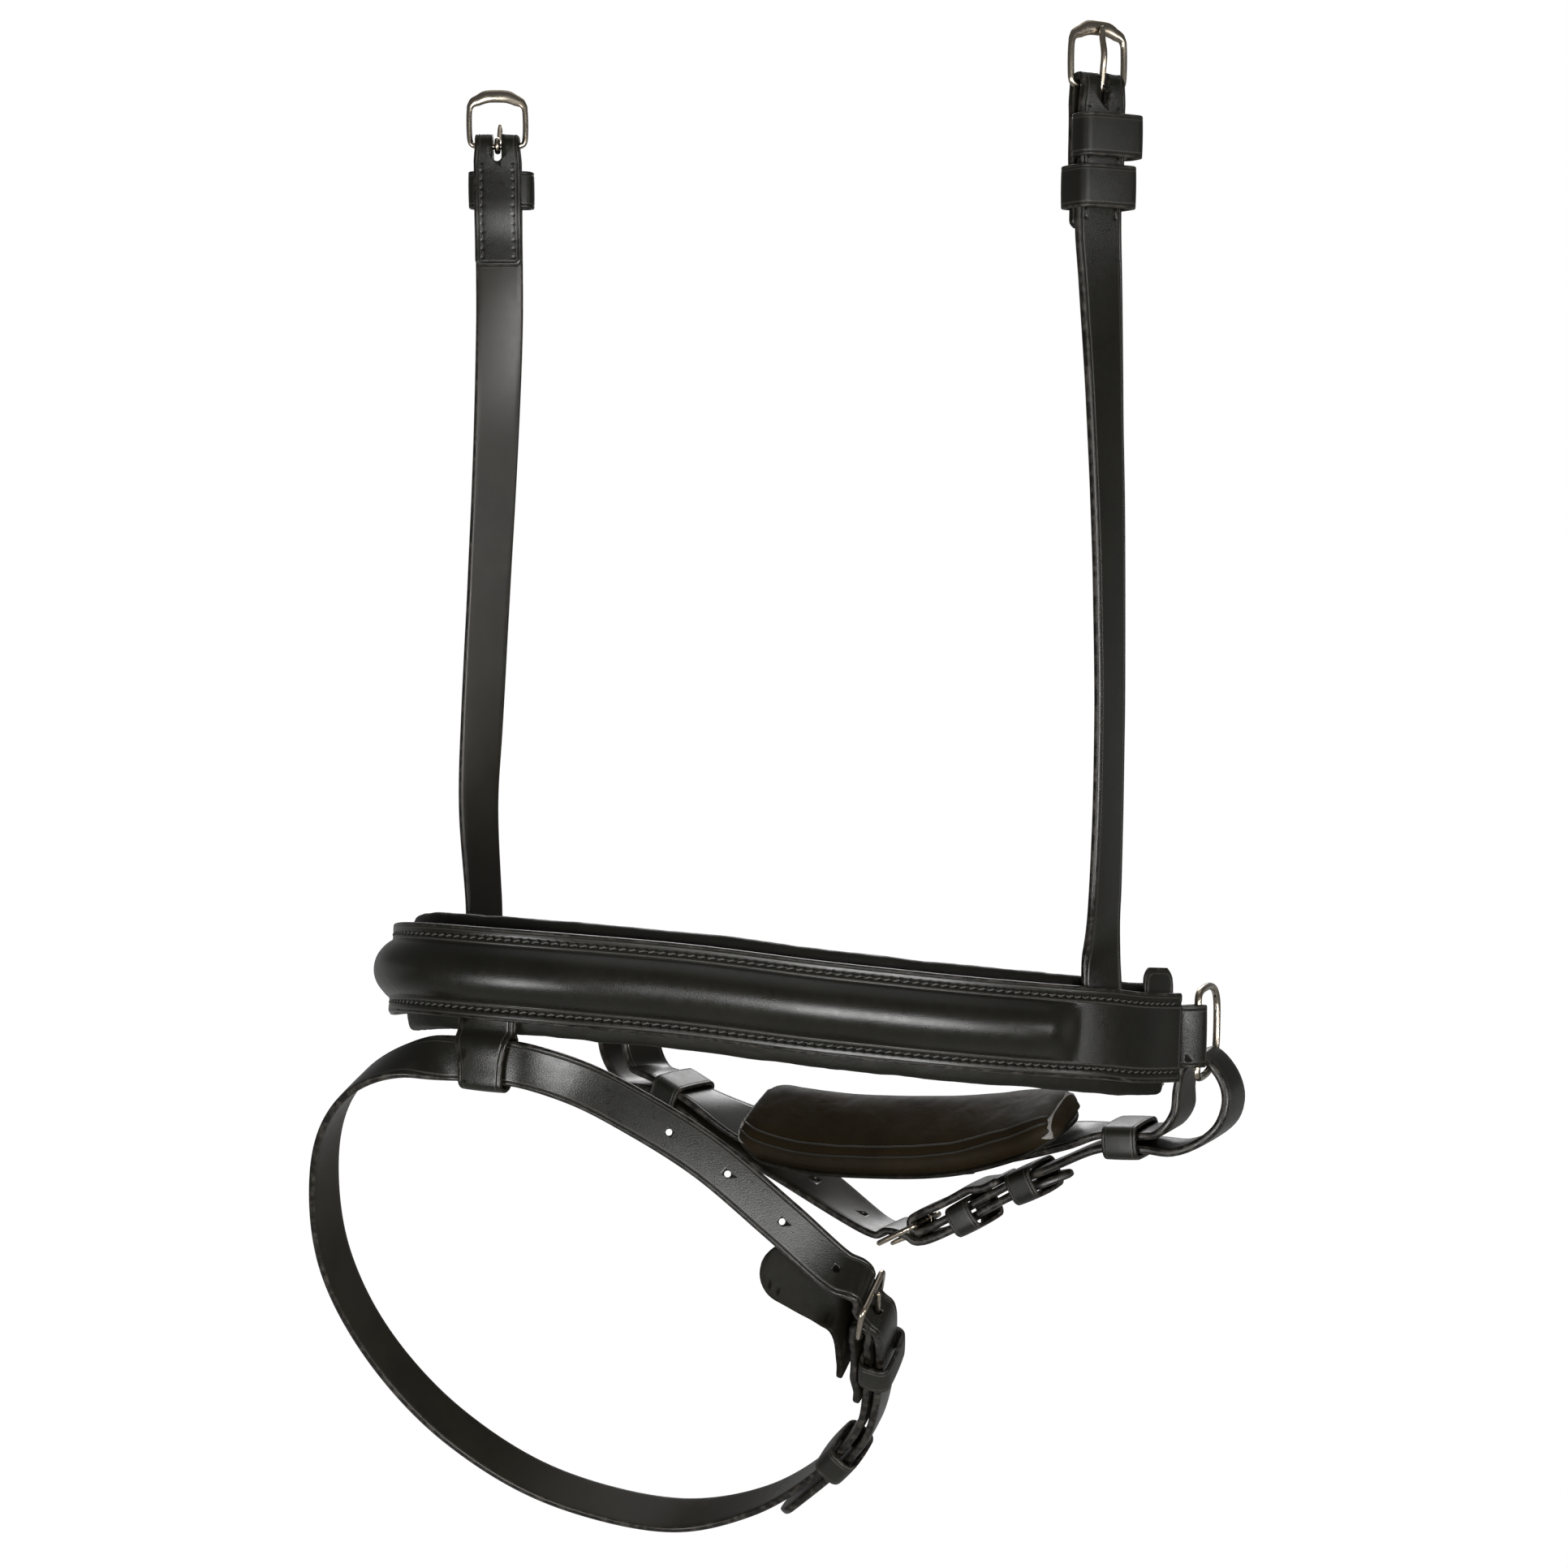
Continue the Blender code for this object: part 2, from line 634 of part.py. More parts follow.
def make_cheeks(band, near_foot, far_foot):
    t = CHEEK_THICK
    face = turn(-24)
    near = Buckle(vec(0, 0, 0), UP, face, CHEEK_WIDTH + 0.6, CHEEK_BUCKLE_LONG)
    mid = -0.1 - MIDDLE_THICK / 2
    foot, out = foot_in_band(band, near_foot)
    down = [(vec(1.6, 0.4, -52), turn(-19)), (vec(2.8, 1.7, -86), turn(-9)), (vec(3.8, 3.5, -130), turn(-3)),
            (vec(4.0, 4.8, -180), turn(0)), (vec(2.9, 5.5, -222), turn(-4)),
            (plumb(foot, out, mid + 0.3, 24.0), (out + turn(-7)).normalized()),
            (plumb(foot, out, mid, 14.0), out), (plumb(foot, out, mid, -8.0), out)]
    rows = cheek_rows(near, down, 38.0, t)
    route = Route(rows)
    body = strap("near_cheek_strap", route, 0.0, route.length, CHEEK_WIDTH, t, taper=crew_taper(route.row_dist[8]),
                 skive=foot_skive(route), cup=foot_cup(route))
    punch(body, slot_tools("near_crew", near, t))
    near.frame("near_cheek_buckle", arch=0.9, head=1.9)
    near.prong("near_cheek_prong")
    centre = near.bar - UP * FIXED_KEEPER_AT
    high_in = t / 2 + GAP + KEEPER_WALL / 2 + t / 2 + GAP
    loop("near_fixed_keeper", centre + near.across * 0.9, UP, face, CHEEK_WIDTH / 2 + 1.4,
         KEEPER_WALL / 2, high_in + 3.1)
    loop("near_running_keeper", near.bar - UP * RUNNING_KEEPER_AT, UP, face, CHEEK_WIDTH / 2 + 0.7,
         -(t / 2 + GAP + KEEPER_WALL / 2 + t / 2 + 0.5), high_in + 2.6)

    foot, out = foot_in_band(band, far_foot)
    far_face = turn(127)
    far = Buckle(vec(-216, 0, 0), UP, far_face, CHEEK_WIDTH + 0.6, CHEEK_BUCKLE_LONG)
    down = [(vec(-217, 1.0, -56), turn(135)), (vec(-218.7, 0.4, -95), turn(150)), (vec(-220.9, -1.1, -138), turn(157)),
            (vec(-223.4, -2.8, -185), turn(159)), (vec(-224.6, -3.6, -212), turn(167)),
            (plumb(foot, out, mid + 0.3, 24.0), (out + turn(178)).normalized()),
            (plumb(foot, out, mid, 14.0), out), (plumb(foot, out, mid, -8.0), out)]
    route_far = Route(cheek_rows(far, down, 38.0, t))
    body = strap("far_cheek_strap", route_far, 0.0, route_far.length, CHEEK_WIDTH, t, taper=crew_taper(route_far.row_dist[8]),
                 skive=foot_skive(route_far), cup=foot_cup(route_far))
    punch(body, slot_tools("far_crew", far, t))
    far.frame("far_cheek_buckle", arch=0.9, head=1.9)
    far.prong("far_cheek_prong", swing=52.0)
    loop("far_fixed_keeper", far.bar - UP * FIXED_KEEPER_AT - far.across * 0.8, UP, far_face, CHEEK_WIDTH / 2 + 1.6,
         KEEPER_WALL / 2, high_in + 3.1)


TAB_AT = 224.8
TAB_CUP = 0.012
TAB_ROOM = 1.3
TAB_THICK = 1.1
TAB_WIDTH = 18.0
TAB_HANG = 29.8
FLASH_DROP = 25.0


def make_flash(band):
    t = FLASH_THICK
    mid = -0.1 - MIDDLE_THICK / 2
    foot, run, out, side = band.at(TAB_AT)
    down = -side if side.z > 0 else side
    half = t / 2 + TAB_THICK / 2 + TAB_ROOM
    layers = ((4.5, 0.7), (10.0, 0.7), (14.0, 0.75), (16.4, 0.85), (19.2, half), (26.0, half))
    rows = []
    for height, lift in layers:
        rows.append((foot + down * height + out * (mid - lift), -out))
    for degrees in (-60, -30, 0, 30, 60):
        a = math.radians(degrees)
        way = down * math.cos(a) + out * math.sin(a)
        rows.append((foot + down * TAB_HANG + out * mid + way * half, way))
    for height, lift in reversed(layers):
        rows.append((foot + down * height + out * (mid + lift), out))
    tab = Route(rows)

    def narrow(s):
        away = abs(s - tab.length / 2)
        return 0.78 + 0.22 * ease((away - 6.0) / 14.0)

    strap("flash_loop", tab, 0.0, tab.length, TAB_WIDTH, TAB_THICK, taper=narrow,
          cup=lambda s: TAB_CUP * min(max((s - tab.length / 2) / 12.0, -1.0), 1.0))

    buckle = Buckle(vec(-43, -45, -340), vec(0.44, -0.53, 0.73), vec(0.89, 0.32, -0.32), FLASH_WIDTH + 0.7, FLASH_BUCKLE_LONG)
    n = buckle.face
    k = vec(0.97, 0.22, -0.05)
    main = [
        (vec(-46.8, -35.6, -355), k), (vec(-50, -31.8, -363.2), vec(0.95, 0.26, -0.16)),
        (vec(-55, -28, -376), vec(0.87, 0.32, -0.36)), (vec(-73, -23, -396), vec(0.65, 0.3, -0.69)),
        (vec(-98, -22, -414), vec(0.2, 0.33, -0.92)), (vec(-126, -28, -423), vec(-0.2, 0.4, -0.89)),
        (vec(-159, -47, -415), vec(-0.5, 0.32, -0.8)), (vec(-182, -66, -395), vec(-0.72, 0.22, -0.66)),
        (vec(-196, -83, -368), vec(-0.86, 0.1, -0.5)), (vec(-201, -96, -339), vec(-0.98, 0.02, -0.2)),
        (vec(-197, -104, -310), vec(-0.98, -0.15, 0.1)), (vec(-188, -108, -290), vec(-0.84, -0.3, 0.45)),
        (vec(-175, -109, -277), vec(-0.4, -0.4, 0.82)), (vec(-160, -107, -270), vec(0.15, -0.55, 0.82)),
    ]
    front = [(buckle.spot(0, -6.0, BAR_RADIUS + GAP + t / 2), n)]
    bed = Route(front + main[:6])
    wide = t + GAP * 3 + KEEPER_WALL
    inner = laid_on(bed, ((27.5, -(t + 0.6)), (22.5, -(t + 0.6)), (17.0, -wide), (11.0, -wide), (4.5, -wide)), -1.0)
    inner.append((buckle.spot(0, -5.0, -(BAR_RADIUS + GAP + t / 2)), -n))
    through = []
    for d in (11.0, 0.0, -11.0):
        p, r, f, w = band.at(TAB_AT + d)
        through.append((p + down * FLASH_DROP + f * mid, f))
    through += [
        (vec(-110, -90, -273.5), vec(0.61, -0.77, 0.16)), (vec(-96, -83, -281), vec(0.64, -0.74, 0.21)),
        (vec(-78, -74, -293), vec(0.64, -0.74, 0.21)),
    ]
    through += by_side([
        (vec(-59, -65, -310), vec(-0.3, -0.49, -0.81)), (buckle.spot(0, 17.6, -10.0), vec(-0.15, -0.65, -0.74)),
        (buckle.spot(0, 17.6, -5.6), vec(-0.05, -0.74, -0.67)), (buckle.spot(0, 16.6, -3.4), -buckle.across),
        (buckle.spot(0, buckle.length, -2.4), -buckle.across),
    ])[:-1]
    billet = over_bar(buckle, t)
    billet += laid_on(bed, ((6.0, t + 1.2), (14.0, t + 0.8), (26.0, t + 1.0), (38.0, t + 1.0), (48.0, t + 1.05), (58.0, t + 1.1)))
    billet.append((bed.place(88.0, t + 3.0), bed.at(88.0)[2]))
    route = Route(inner + buckle.fold(t) + front + main + through + billet)
    body = strap("flash_strap", route, 0.0, route.length, FLASH_WIDTH, t, ends=("soft", "point"),
                 taper=crew_taper(route.row_dist[len(inner) + 3]))
    at_bar = route.row_dist[len(inner) + 7 + len(front) + len(main) + len(through)]
    tools = slot_tools("flash_crew", buckle, t, below=5.5) + [prong_way("flash_prong_way", buckle)]
    for number in range(4):
        p, r, f, w = route.at(at_bar - 11.0 - HOLE_PITCH * number)
        tools.append(cutter("flash_hole_%d" % number, p, r, f, 1.15, 1.15, 2.0))
    punch(body, tools)
    buckle.frame("flash_buckle")
    buckle.prong("flash_prong", bow=0.3)
    p, r, f, w = bed.at(11.0)
    loop("flash_fixed_keeper", p, r, f, FLASH_WIDTH / 2 + 1.3, -(t / 2 + GAP + 0.15), t * 1.5 + 2.1, band=9.0)
    p, r, f, w = bed.at(54.0)
    loop("flash_running_keeper", p, r, f, FLASH_WIDTH / 2 + 0.9, -(t / 2 + 0.7), t * 1.5 + 1.7, band=10.0)
    safe_rows = laid_on(bed, ((16.0, -wide - t / 2 - 2.4), (7.0, -wide - t / 2 - 2.4)))
    safe_rows += [
        (buckle.spot(0, 1.0, -7.6), vec(0.9, 0.1, -0.3)),
        (vec(-57.5, -53, -331), vec(0.72, -0.5, -0.1)), (vec(-69, -59.5, -324), vec(0.6, -0.72, 0.1)),
    ]
    safe = Route(safe_rows)
    strap("flash_buckle_safe", safe, 0.0, safe.length, 17.5, 1.8, ends=("soft", "round"))


class Pair:
    """Two parallel layers of the chin strap where a keeper holds them together."""

    def __init__(self, centre, run, face, apart, reach=7.0):
        self.centre = centre
        self.run = run.normalized()
        self.face = (face - self.run * face.dot(self.run)).normalized()
        self.apart = apart
        half = self.face * (apart / 2)
        self.low = [(centre - self.run * reach + half, self.face), (centre + self.run * reach + half, self.face)]
        self.high = [(centre + self.run * reach - half, -self.face), (centre - self.run * reach - half, -self.face)]

    def keeper(self, name, thick):
        half = self.apart / 2 + thick / 2 + 0.6
        loop(name, self.centre, self.run, self.face, CHIN_WIDTH / 2 + 0.8, -half, half, band=11.0)


RING_LOOP = (
    (-7.5, 36.9), (0.5, 33.1), (7.0, 26.7), (8.8, 18.9), (6.1, 11.9), (0.0, 7.2), (-5.3, 11.4), (-6.9, 18.0),
    (-7.3, 25.0), (-11.5, 31.1),
)


PAD_BACKING = 31.0
PAD_LEATHER = 1.4
PAD_HALF = 14.5
PAD_TALL = 7.5
PAD_ROOM = 0.8


def ring_loop(hold, outward, stretch):
    """Points of the chin strap where it hangs over a ring: outward distance and depth below the bar."""
    flat = vec(outward.x, outward.y, 0.0).normalized()
    return [hold + flat * a - UP * (b + stretch * max(b - 12.0, 0.0) / 20.0) for a, b in RING_LOOP]


def make_chin(near_hold, far_hold):
    t = CHIN_THICK
    buckle = Buckle(vec(-84.1, 50.8, -341), vec(-0.855, -0.075, -0.51), vec(0.51, 0.03, -0.86), CHIN_WIDTH + 0.7, CHIN_BUCKLE_LONG)
    n = buckle.face
    front = [(buckle.spot(0, -6.0, BAR_RADIUS + GAP + t / 2), n)]
    wide = t + GAP * 3 + KEEPER_WALL
    near_pair = Pair(vec(-14.8, 56.9, -305.2), vec(0.97, 0.11, 0.1), vec(0.1, 0.0, -1.0), 4.2)
    far_pair = Pair(vec(-180.7, 48, -311.9), vec(0.94, -0.08, -0.31), vec(-0.31, 0.0, -0.95), 4.4)
    lower_near = [
        (vec(-66, 52.4, -332.6), vec(0.54, 0.05, -0.84)), (vec(-54, 53.1, -324.8), vec(0.52, 0.05, -0.85)),
        (vec(-40, 54, -317.3), vec(0.46, 0.05, -0.88)),
    ] + near_pair.low
    outward = near_hold - near_pair.centre
    side = vec(-outward.y, outward.x, 0.0).normalized()
    near_turn = by_side([(point, side) for point in ring_loop(near_hold, outward, 0.0)])
    middle = [
        (vec(-34, 54.7, -307), vec(-0.15, -0.3, 0.94)), (vec(-66, 52.8, -315), vec(-0.16, -0.6, 0.79)),
        (vec(-97.8, 51.6, -319.6), vec(-0.1, -0.66, 0.74)), (vec(-128.3, 50.4, -321.5), vec(-0.02, -0.66, 0.75)),
        (vec(-151, 49.3, -320), vec(0.12, -0.5, 0.86)),
    ]
    outward = far_hold - far_pair.centre
    side = vec(outward.y, -outward.x, 0.0).normalized()
    far_turn = by_side([(point, side) for point in reversed(ring_loop(far_hold, outward, 1.0))])
    lower_far = [(vec(-156.4, 48.5, -323.5), vec(-0.35, 0.42, -0.84)), (vec(-127.8, 48.2, -334), vec(-0.33, 0.35, -0.88))]
    lower_far.append((buckle.spot(0, 17.6, -4.6), vec(0.1, 0, -1)))
    main = lower_near + near_turn + near_pair.high + middle + far_pair.high + far_turn + far_pair.low + lower_far
    bed = Route(front + lower_near)
    inner = laid_on(bed, ((28.0, -(t + GAP)), (22.5, -(t + GAP)), (16.5, -wide), (10.5, -wide), (4.5, -wide)), -1.0)
    inner.append((buckle.spot(0, -5.0, -(BAR_RADIUS + GAP + t / 2)), -n))
    billet = over_bar(buckle, t)
    billet += laid_on(bed, ((6.0, t + 1.3), (14.0, t + 0.9), (26.0, t + 0.8), (38.0, t + 0.9), (49.0, t + 1.6)))
    route = Route(inner + buckle.fold(t) + front + main + billet)
    rows = len(inner) + 7 + len(front)
    near_top = route.row_dist[rows + len(lower_near) + 5]
    far_top = route.row_dist[rows + len(main) - len(lower_far) - 2 - 5]
    fold = crew_taper(route.row_dist[len(inner) + 3])

    def taper(s):
        away = min(abs(s - near_top), abs(s - far_top))
        return fold(s) * (0.8 + 0.2 * ease((away - 10.0) / 16.0))

    body = strap("chin_strap", route, 0.0, route.length, CHIN_WIDTH, t, ends=("soft", "point"), taper=taper)
    at_bar = route.row_dist[rows + len(main)]
    tools = slot_tools("chin_crew", buckle, t, below=5.5) + [prong_way("chin_prong_way", buckle)]
    for number in range(3):
        p, r, f, w = route.at(at_bar - 10.0 - HOLE_PITCH * number)
        tools.append(cutter("chin_hole_%d" % number, p, r, f, 1.25, 1.25, 2.2))
    punch(body, tools)
    buckle.frame("chin_buckle")
    buckle.prong("chin_prong", bow=0.3)
    p, r, f, w = bed.at(11.0)
    loop("chin_fixed_keeper", p, r, f, CHIN_WIDTH / 2 + 0.8, -(t / 2 + GAP), t * 1.5 + 2.2, band=9.0)
    p, r, f, w = bed.at(36.0)
    loop("chin_running_keeper", p, r, f, CHIN_WIDTH / 2 + 0.8, -(t / 2 + 0.7), t * 1.5 + 1.9, band=9.0)
    near_pair.keeper("near_ring_keeper", t)
    far_pair.keeper("far_ring_keeper", t)

    first = rows + len(lower_near) + len(near_turn) + len(near_pair.high)
    start = route.row_dist[first] - 3.0
    end = route.row_dist[first + len(middle) - 1] + 1.0
    room = GAP + 0.3
    base = t / 2 + room + KEEPER_WALL + PAD_ROOM
    steps = [1.0, 1.6, 3.0, 6.0, 10.0] + [PAD_BACKING / 2 * f for f in (0.02, 0.3, 0.6, 1.0)]
    stations = route.stops(start, end, 9.0, 8.0, extra=[start + m for m in steps] + [end - m for m in steps])

    def backing(s):
        wide = min(end_width(s - start, PAD_BACKING / 2, "round"), end_width(end - s, PAD_BACKING / 2, "round"))
        return [(a, b + base + PAD_LEATHER / 2) for a, b in slab(wide, PAD_LEATHER)]

    profile("chin_pad_backing", route, stations, backing)
    face = base + PAD_LEATHER + 0.2
    half = PAD_HALF
    tall = PAD_TALL

    def skin(s):
        k = pad_scale(s, start, end, half)
        return [(a * k, b) for a, b in (
            (-half, face), (-half, face + 1.6), (-half + 1.0, face + 4.4), (-half + 4.4, face + tall - 0.4),
            (0.0, face + tall), (half - 4.4, face + tall - 0.4), (half - 1.0, face + 4.4), (half, face + 1.6), (half, face),
            (half - 1.1, face), (half - 1.1, face + 1.5), (half - 2.0, face + 3.9), (half - 5.0, face + tall - 1.4),
            (0.0, face + tall - 1.0), (-half + 5.0, face + tall - 1.4), (-half + 2.0, face + 3.9), (-half + 1.1, face + 1.5),
            (-half + 1.1, face))]

    def foam(s):
        k = pad_scale(s, start, end, half)
        return [(a * k, b) for a, b in (
            (-half + 1.6, face), (-half + 1.6, face + 1.4), (-half + 2.5, face + 3.6), (-half + 5.3, face + tall - 2.1),
            (0.0, face + tall - 1.7), (half - 5.3, face + tall - 2.1), (half - 2.5, face + 3.6), (half - 1.6, face + 1.4),
            (half - 1.6, face))]

    profile("chin_pad_cover", route, between(stations, start + 1.0, end - 1.0), skin)
    profile("chin_pad_foam", route, between(stations, start + 3.0, end - 3.0), foam)
    for label, s in (("near", start + 40.0), ("far", end - 22.0)):
        p, r, f, w = route.at(s)
        loop(label + "_pad_loop", p, r, f, CHIN_WIDTH / 2 + 0.6, -(t / 2 + room), t / 2 + room, band=8.0)


def pad_scale(s, start, end, half):
    """Pad narrows to rounded ends."""
    ahead = min(s - start, end - s)
    if ahead > 10.0:
        return 1.0
    return 0.62 + 0.38 * math.sqrt(max(1.0 - ((10.0 - ahead) / 10.0) ** 2, 0.0))


def build():
    for thing in list(bpy.data.objects):
        bpy.data.objects.remove(thing, do_unlink=True)
    band = band_route()
    start, end, near_foot, far_foot = make_band(band)
    near_hold = ring_end("near", band, 0.0, 1, 100.0, NEAR_HOLD_SHARE)
    far_hold = ring_end("far", band, band.length, -1, 80.0, FAR_HOLD_SHARE)
    make_cheeks(band, near_foot, far_foot)
    make_flash(band)
    make_chin(near_hold, far_hold)


build()
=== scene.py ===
"""Crank noseband with flash strap, dressed for the picture.

Routes are in millimetres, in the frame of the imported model: the origin is the near cheek buckle's bar,
the far buckle lies on -X, the nose front points to -Y and +Z is up.
"""

import math
from bisect import bisect_right
from functools import cache
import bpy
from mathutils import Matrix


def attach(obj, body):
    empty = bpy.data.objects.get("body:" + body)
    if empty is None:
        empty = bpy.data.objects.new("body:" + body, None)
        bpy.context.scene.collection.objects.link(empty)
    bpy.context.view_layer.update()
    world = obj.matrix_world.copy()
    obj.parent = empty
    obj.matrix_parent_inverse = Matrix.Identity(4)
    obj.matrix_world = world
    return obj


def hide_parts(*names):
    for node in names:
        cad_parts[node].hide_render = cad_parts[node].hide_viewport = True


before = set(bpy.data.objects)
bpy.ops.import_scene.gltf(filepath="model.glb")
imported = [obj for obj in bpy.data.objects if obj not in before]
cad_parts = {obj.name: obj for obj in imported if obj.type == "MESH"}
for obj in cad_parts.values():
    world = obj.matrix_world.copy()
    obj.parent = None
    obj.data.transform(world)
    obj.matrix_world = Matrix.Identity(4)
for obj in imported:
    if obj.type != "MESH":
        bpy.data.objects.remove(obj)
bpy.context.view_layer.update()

from types import SimpleNamespace

import bmesh
import bpy
from bpy.props import FloatProperty, FloatVectorProperty, PointerProperty
from mathutils import Matrix, Vector, noise

bl_info = {
    "name": "Crank noseband",
    "version": (1, 0, 0),
    "blender": (4, 5, 0),
    "location": "3D View > Sidebar > Noseband",
    "description": "Leather, padding, buckles and stitching of a crank noseband with a flash strap",
    "category": "Add Mesh",
}

MM = 0.001
UP = Vector((0.0, 0.0, 1.0))
GAP = 0.3
ROUTE_STEP = 0.5
KEEPER_BAND = 11.5
KEEPER_CORNER = 2.4
BAR_RADIUS = 1.0
SIDE_RADIUS = 0.9
MIDDLE_OF_FOLD = 4
CHEEK_FOLD_ROW = 8
CHEEK_SEAM = 5.0
SLOT_HALF = 1.45
HOLE_PITCH = 20.0
STITCH_ACROSS = 9.9


# sizes and colours that a user would change


def length(name, about, metres):
    return FloatProperty(name=name, description=about, default=metres, unit="LENGTH")


def shade(name, about, *colour):
    return FloatVectorProperty(name=name, description=about, default=colour, subtype="COLOR", size=3)


class NosebandSizes(bpy.types.PropertyGroup):
    cheek_width: length("Cheek strap width", "Width of both cheek straps", 0.015)
    cheek_thick: length("Cheek strap thickness", "Thickness of one layer of cheek strap", 0.0023)
    flash_width: length("Flash strap width", "Width of the flash strap", 0.0128)
    flash_thick: length("Flash strap thickness", "Thickness of the flash strap", 0.0022)
    chin_width: length("Chin strap width", "Width of the chin strap away from the rings", 0.016)
    chin_thick: length("Chin strap thickness", "Thickness of the chin strap", 0.0025)
    band_half: length("Band half height", "Middle of the outer leather to its edge", 0.013)
    roll_half: length("Roll half height", "Middle of the raised roll to its foot", 0.0082)
    roll_proud: length("Roll height", "How far the roll stands off the outer leather", 0.005)
    lining_thick: length("Lining thickness", "Padded lining, front to back", 0.0064)
    keeper_wall: length("Keeper thickness", "Thickness of the leather of a keeper", 0.0013)
    ring_wire: length("Ring wire radius", "Radius of the steel wire of both rings", 0.0011)
    stitch_pitch: length("Stitch pitch", "Distance from one stitch to the next", 0.0027)


class NosebandColours(bpy.types.PropertyGroup):
    grain: shade("Grain side", "Dyed and polished face of the leather", 0.0046, 0.0044, 0.0027)
    flesh: shade("Flesh side", "Dyed back of the leather", 0.0085, 0.0070, 0.0040)
    edge: shade("Cut edge", "Burnished edge of the leather", 0.0030, 0.0026, 0.0018)
    lining: shade("Lining", "Soft leather over the padding", 0.0044, 0.0042, 0.0026)
    pad: shade("Chin pad", "Soft leather over the chin pad", 0.0100, 0.0066, 0.0026)
    welt: shade("Welt", "Rolled leather along the sewing of the chin pad", 0.022, 0.020, 0.015)
    steel: shade("Steel", "Plated buckles, prongs and rings", 0.36, 0.32, 0.26)
    thread: shade("Thread", "Waxed sewing thread", 0.0420, 0.0400, 0.0350)
    backdrop: shade("Backdrop", "Floor and background", 0.80, 0.80, 0.80)


def sizes():
    return bpy.context.scene.noseband_sizes


def colours():
    return bpy.context.scene.noseband_colours


def mm(metres):
    return metres / MM


# routes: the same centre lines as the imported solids


def vec(x, y, z):
    return Vector((x, y, z))


def turn(azimuth):
    """Level unit direction from an azimuth in degrees."""
    return vec(math.cos(math.radians(azimuth)), math.sin(math.radians(azimuth)), 0.0)


def polar(first, second, degrees):
    """Direction at an angle from the first one towards the second."""
    t = math.radians(degrees)
    return first * math.cos(t) + second * math.sin(t)


def ease(x):
    """Smooth step from 0 to 1."""
    x = min(max(x, 0.0), 1.0)
    return x * x * (3.0 - 2.0 * x)


def mix(a, b, ka, kb, u):
    f = (u - ka) / (kb - ka)
    return a * (1.0 - f) + b * f


def squared(value, power):
    """A sine or cosine with its curve made boxier, sign kept."""
    return math.copysign(abs(value) ** power, value)


def blend_knots(values, knots, i, u):
    """One point of a centripetal curve between values i and i+1."""
    k = knots[i - 1:i + 3]
    p = values[i - 1:i + 3]
    a = [mix(p[j], p[j + 1], k[j], k[j + 1], u) for j in range(3)]
    b = [mix(a[j], a[j + 1], k[j], k[j + 2], u) for j in range(2)]
    return mix(b[0], b[1], k[1], k[2], u)


def knots_of(points):
    knots = [0.0]
    for a, b in zip(points, points[1:]):
        knots.append(knots[-1] + max((b - a).length, 1e-6) ** 0.5)
    return knots


def with_ends(points):
    """Points with one more at each end, straight on."""
    return [points[0] * 2 - points[1]] + list(points) + [points[-1] * 2 - points[-2]]


def curve_steps(padded, knots, last, step):
    """Index, share of the way to the next point, and knot value, for every point of a smooth curve."""
    for i in range(1, last):
        count = max(2, int((padded[i + 1] - padded[i]).length / step))
        for j in range(count):
            yield i, j / count, knots[i] + (knots[i + 1] - knots[i]) * j / count


class Route:
    """Smooth centre line through rows of (point, normal), measured by distance along it."""

    def __init__(self, rows):
        points = [Vector(p) for p, n in rows]
        normals = [Vector(n).normalized() for p, n in rows]
        padded = with_ends(points)
        faces = [normals[0]] + normals + [normals[-1]]
        knots = knots_of(padded)
        self.points = []
        self.faces = []
        self.row_dist = []
        for i, share, u in curve_steps(padded, knots, len(padded) - 2, ROUTE_STEP):
            if share == 0.0:
                self.row_dist.append(len(self.points))
            self.points.append(blend_knots(padded, knots, i, u))
            self.faces.append(blend_knots(faces, knots, i, u).normalized())
        self.row_dist.append(len(self.points))
        self.points.append(points[-1].copy())
        self.faces.append(normals[-1].copy())
        self.dist = [0.0]
        for a, b in zip(self.points, self.points[1:]):
            self.dist.append(self.dist[-1] + (b - a).length)
        self.row_dist = [self.dist[k] for k in self.row_dist]
        self.length = self.dist[-1]

    def at(self, s):
        """Point, run direction, face normal and side direction at distance s."""
        s = min(max(s, 0.0), self.length)
        high = min(max(bisect_right(self.dist, s), 1), len(self.dist) - 1)
        low = high - 1
        f = (s - self.dist[low]) / (self.dist[high] - self.dist[low])
        point = self.points[low].lerp(self.points[high], f)
        back = self.points[max(low - 1, 0)]
        front = self.points[min(high + 1, len(self.points) - 1)]
        here = (self.points[high] - self.points[low]).normalized()
        run = (here + (front - back).normalized()).normalized()
        face = self.faces[low].lerp(self.faces[high], f)
        face = (face - run * face.dot(run)).normalized()
        return point, run, face, run.cross(face)

    def place(self, s, lift, across=0.0):
        """Point at distance s, lifted off the line and moved across."""
        point, run, face, side = self.at(s)
        return point + face * lift + side * across

    def stops(self, start, end, reach=2.2, bend=6.0, extra=()):
        """Distances for cross sections: close together where the strap bends or twists."""
        keep = [start]
        last = self.at(start)
        limit = math.radians(bend)
        s = start
        while s < end - 0.4:
            s += 0.2
            here = self.at(s)
            angle = max(last[1].angle(here[1]), last[2].angle(here[2]))
            if angle > limit or s - keep[-1] > reach:
                keep.append(s)
                last = here
        while len(keep) > 1 and end - keep[-1] < 0.4:
            keep.pop()
        keep.append(end)
        for value in extra:
            if start < value < end and min(abs(value - k) for k in keep) > 0.03:
                keep.append(value)
        return sorted(keep)


def beside(points, i):
    """Way from the point before to the point after."""
    return points[min(i + 1, len(points) - 1)] - points[max(i - 1, 0)]


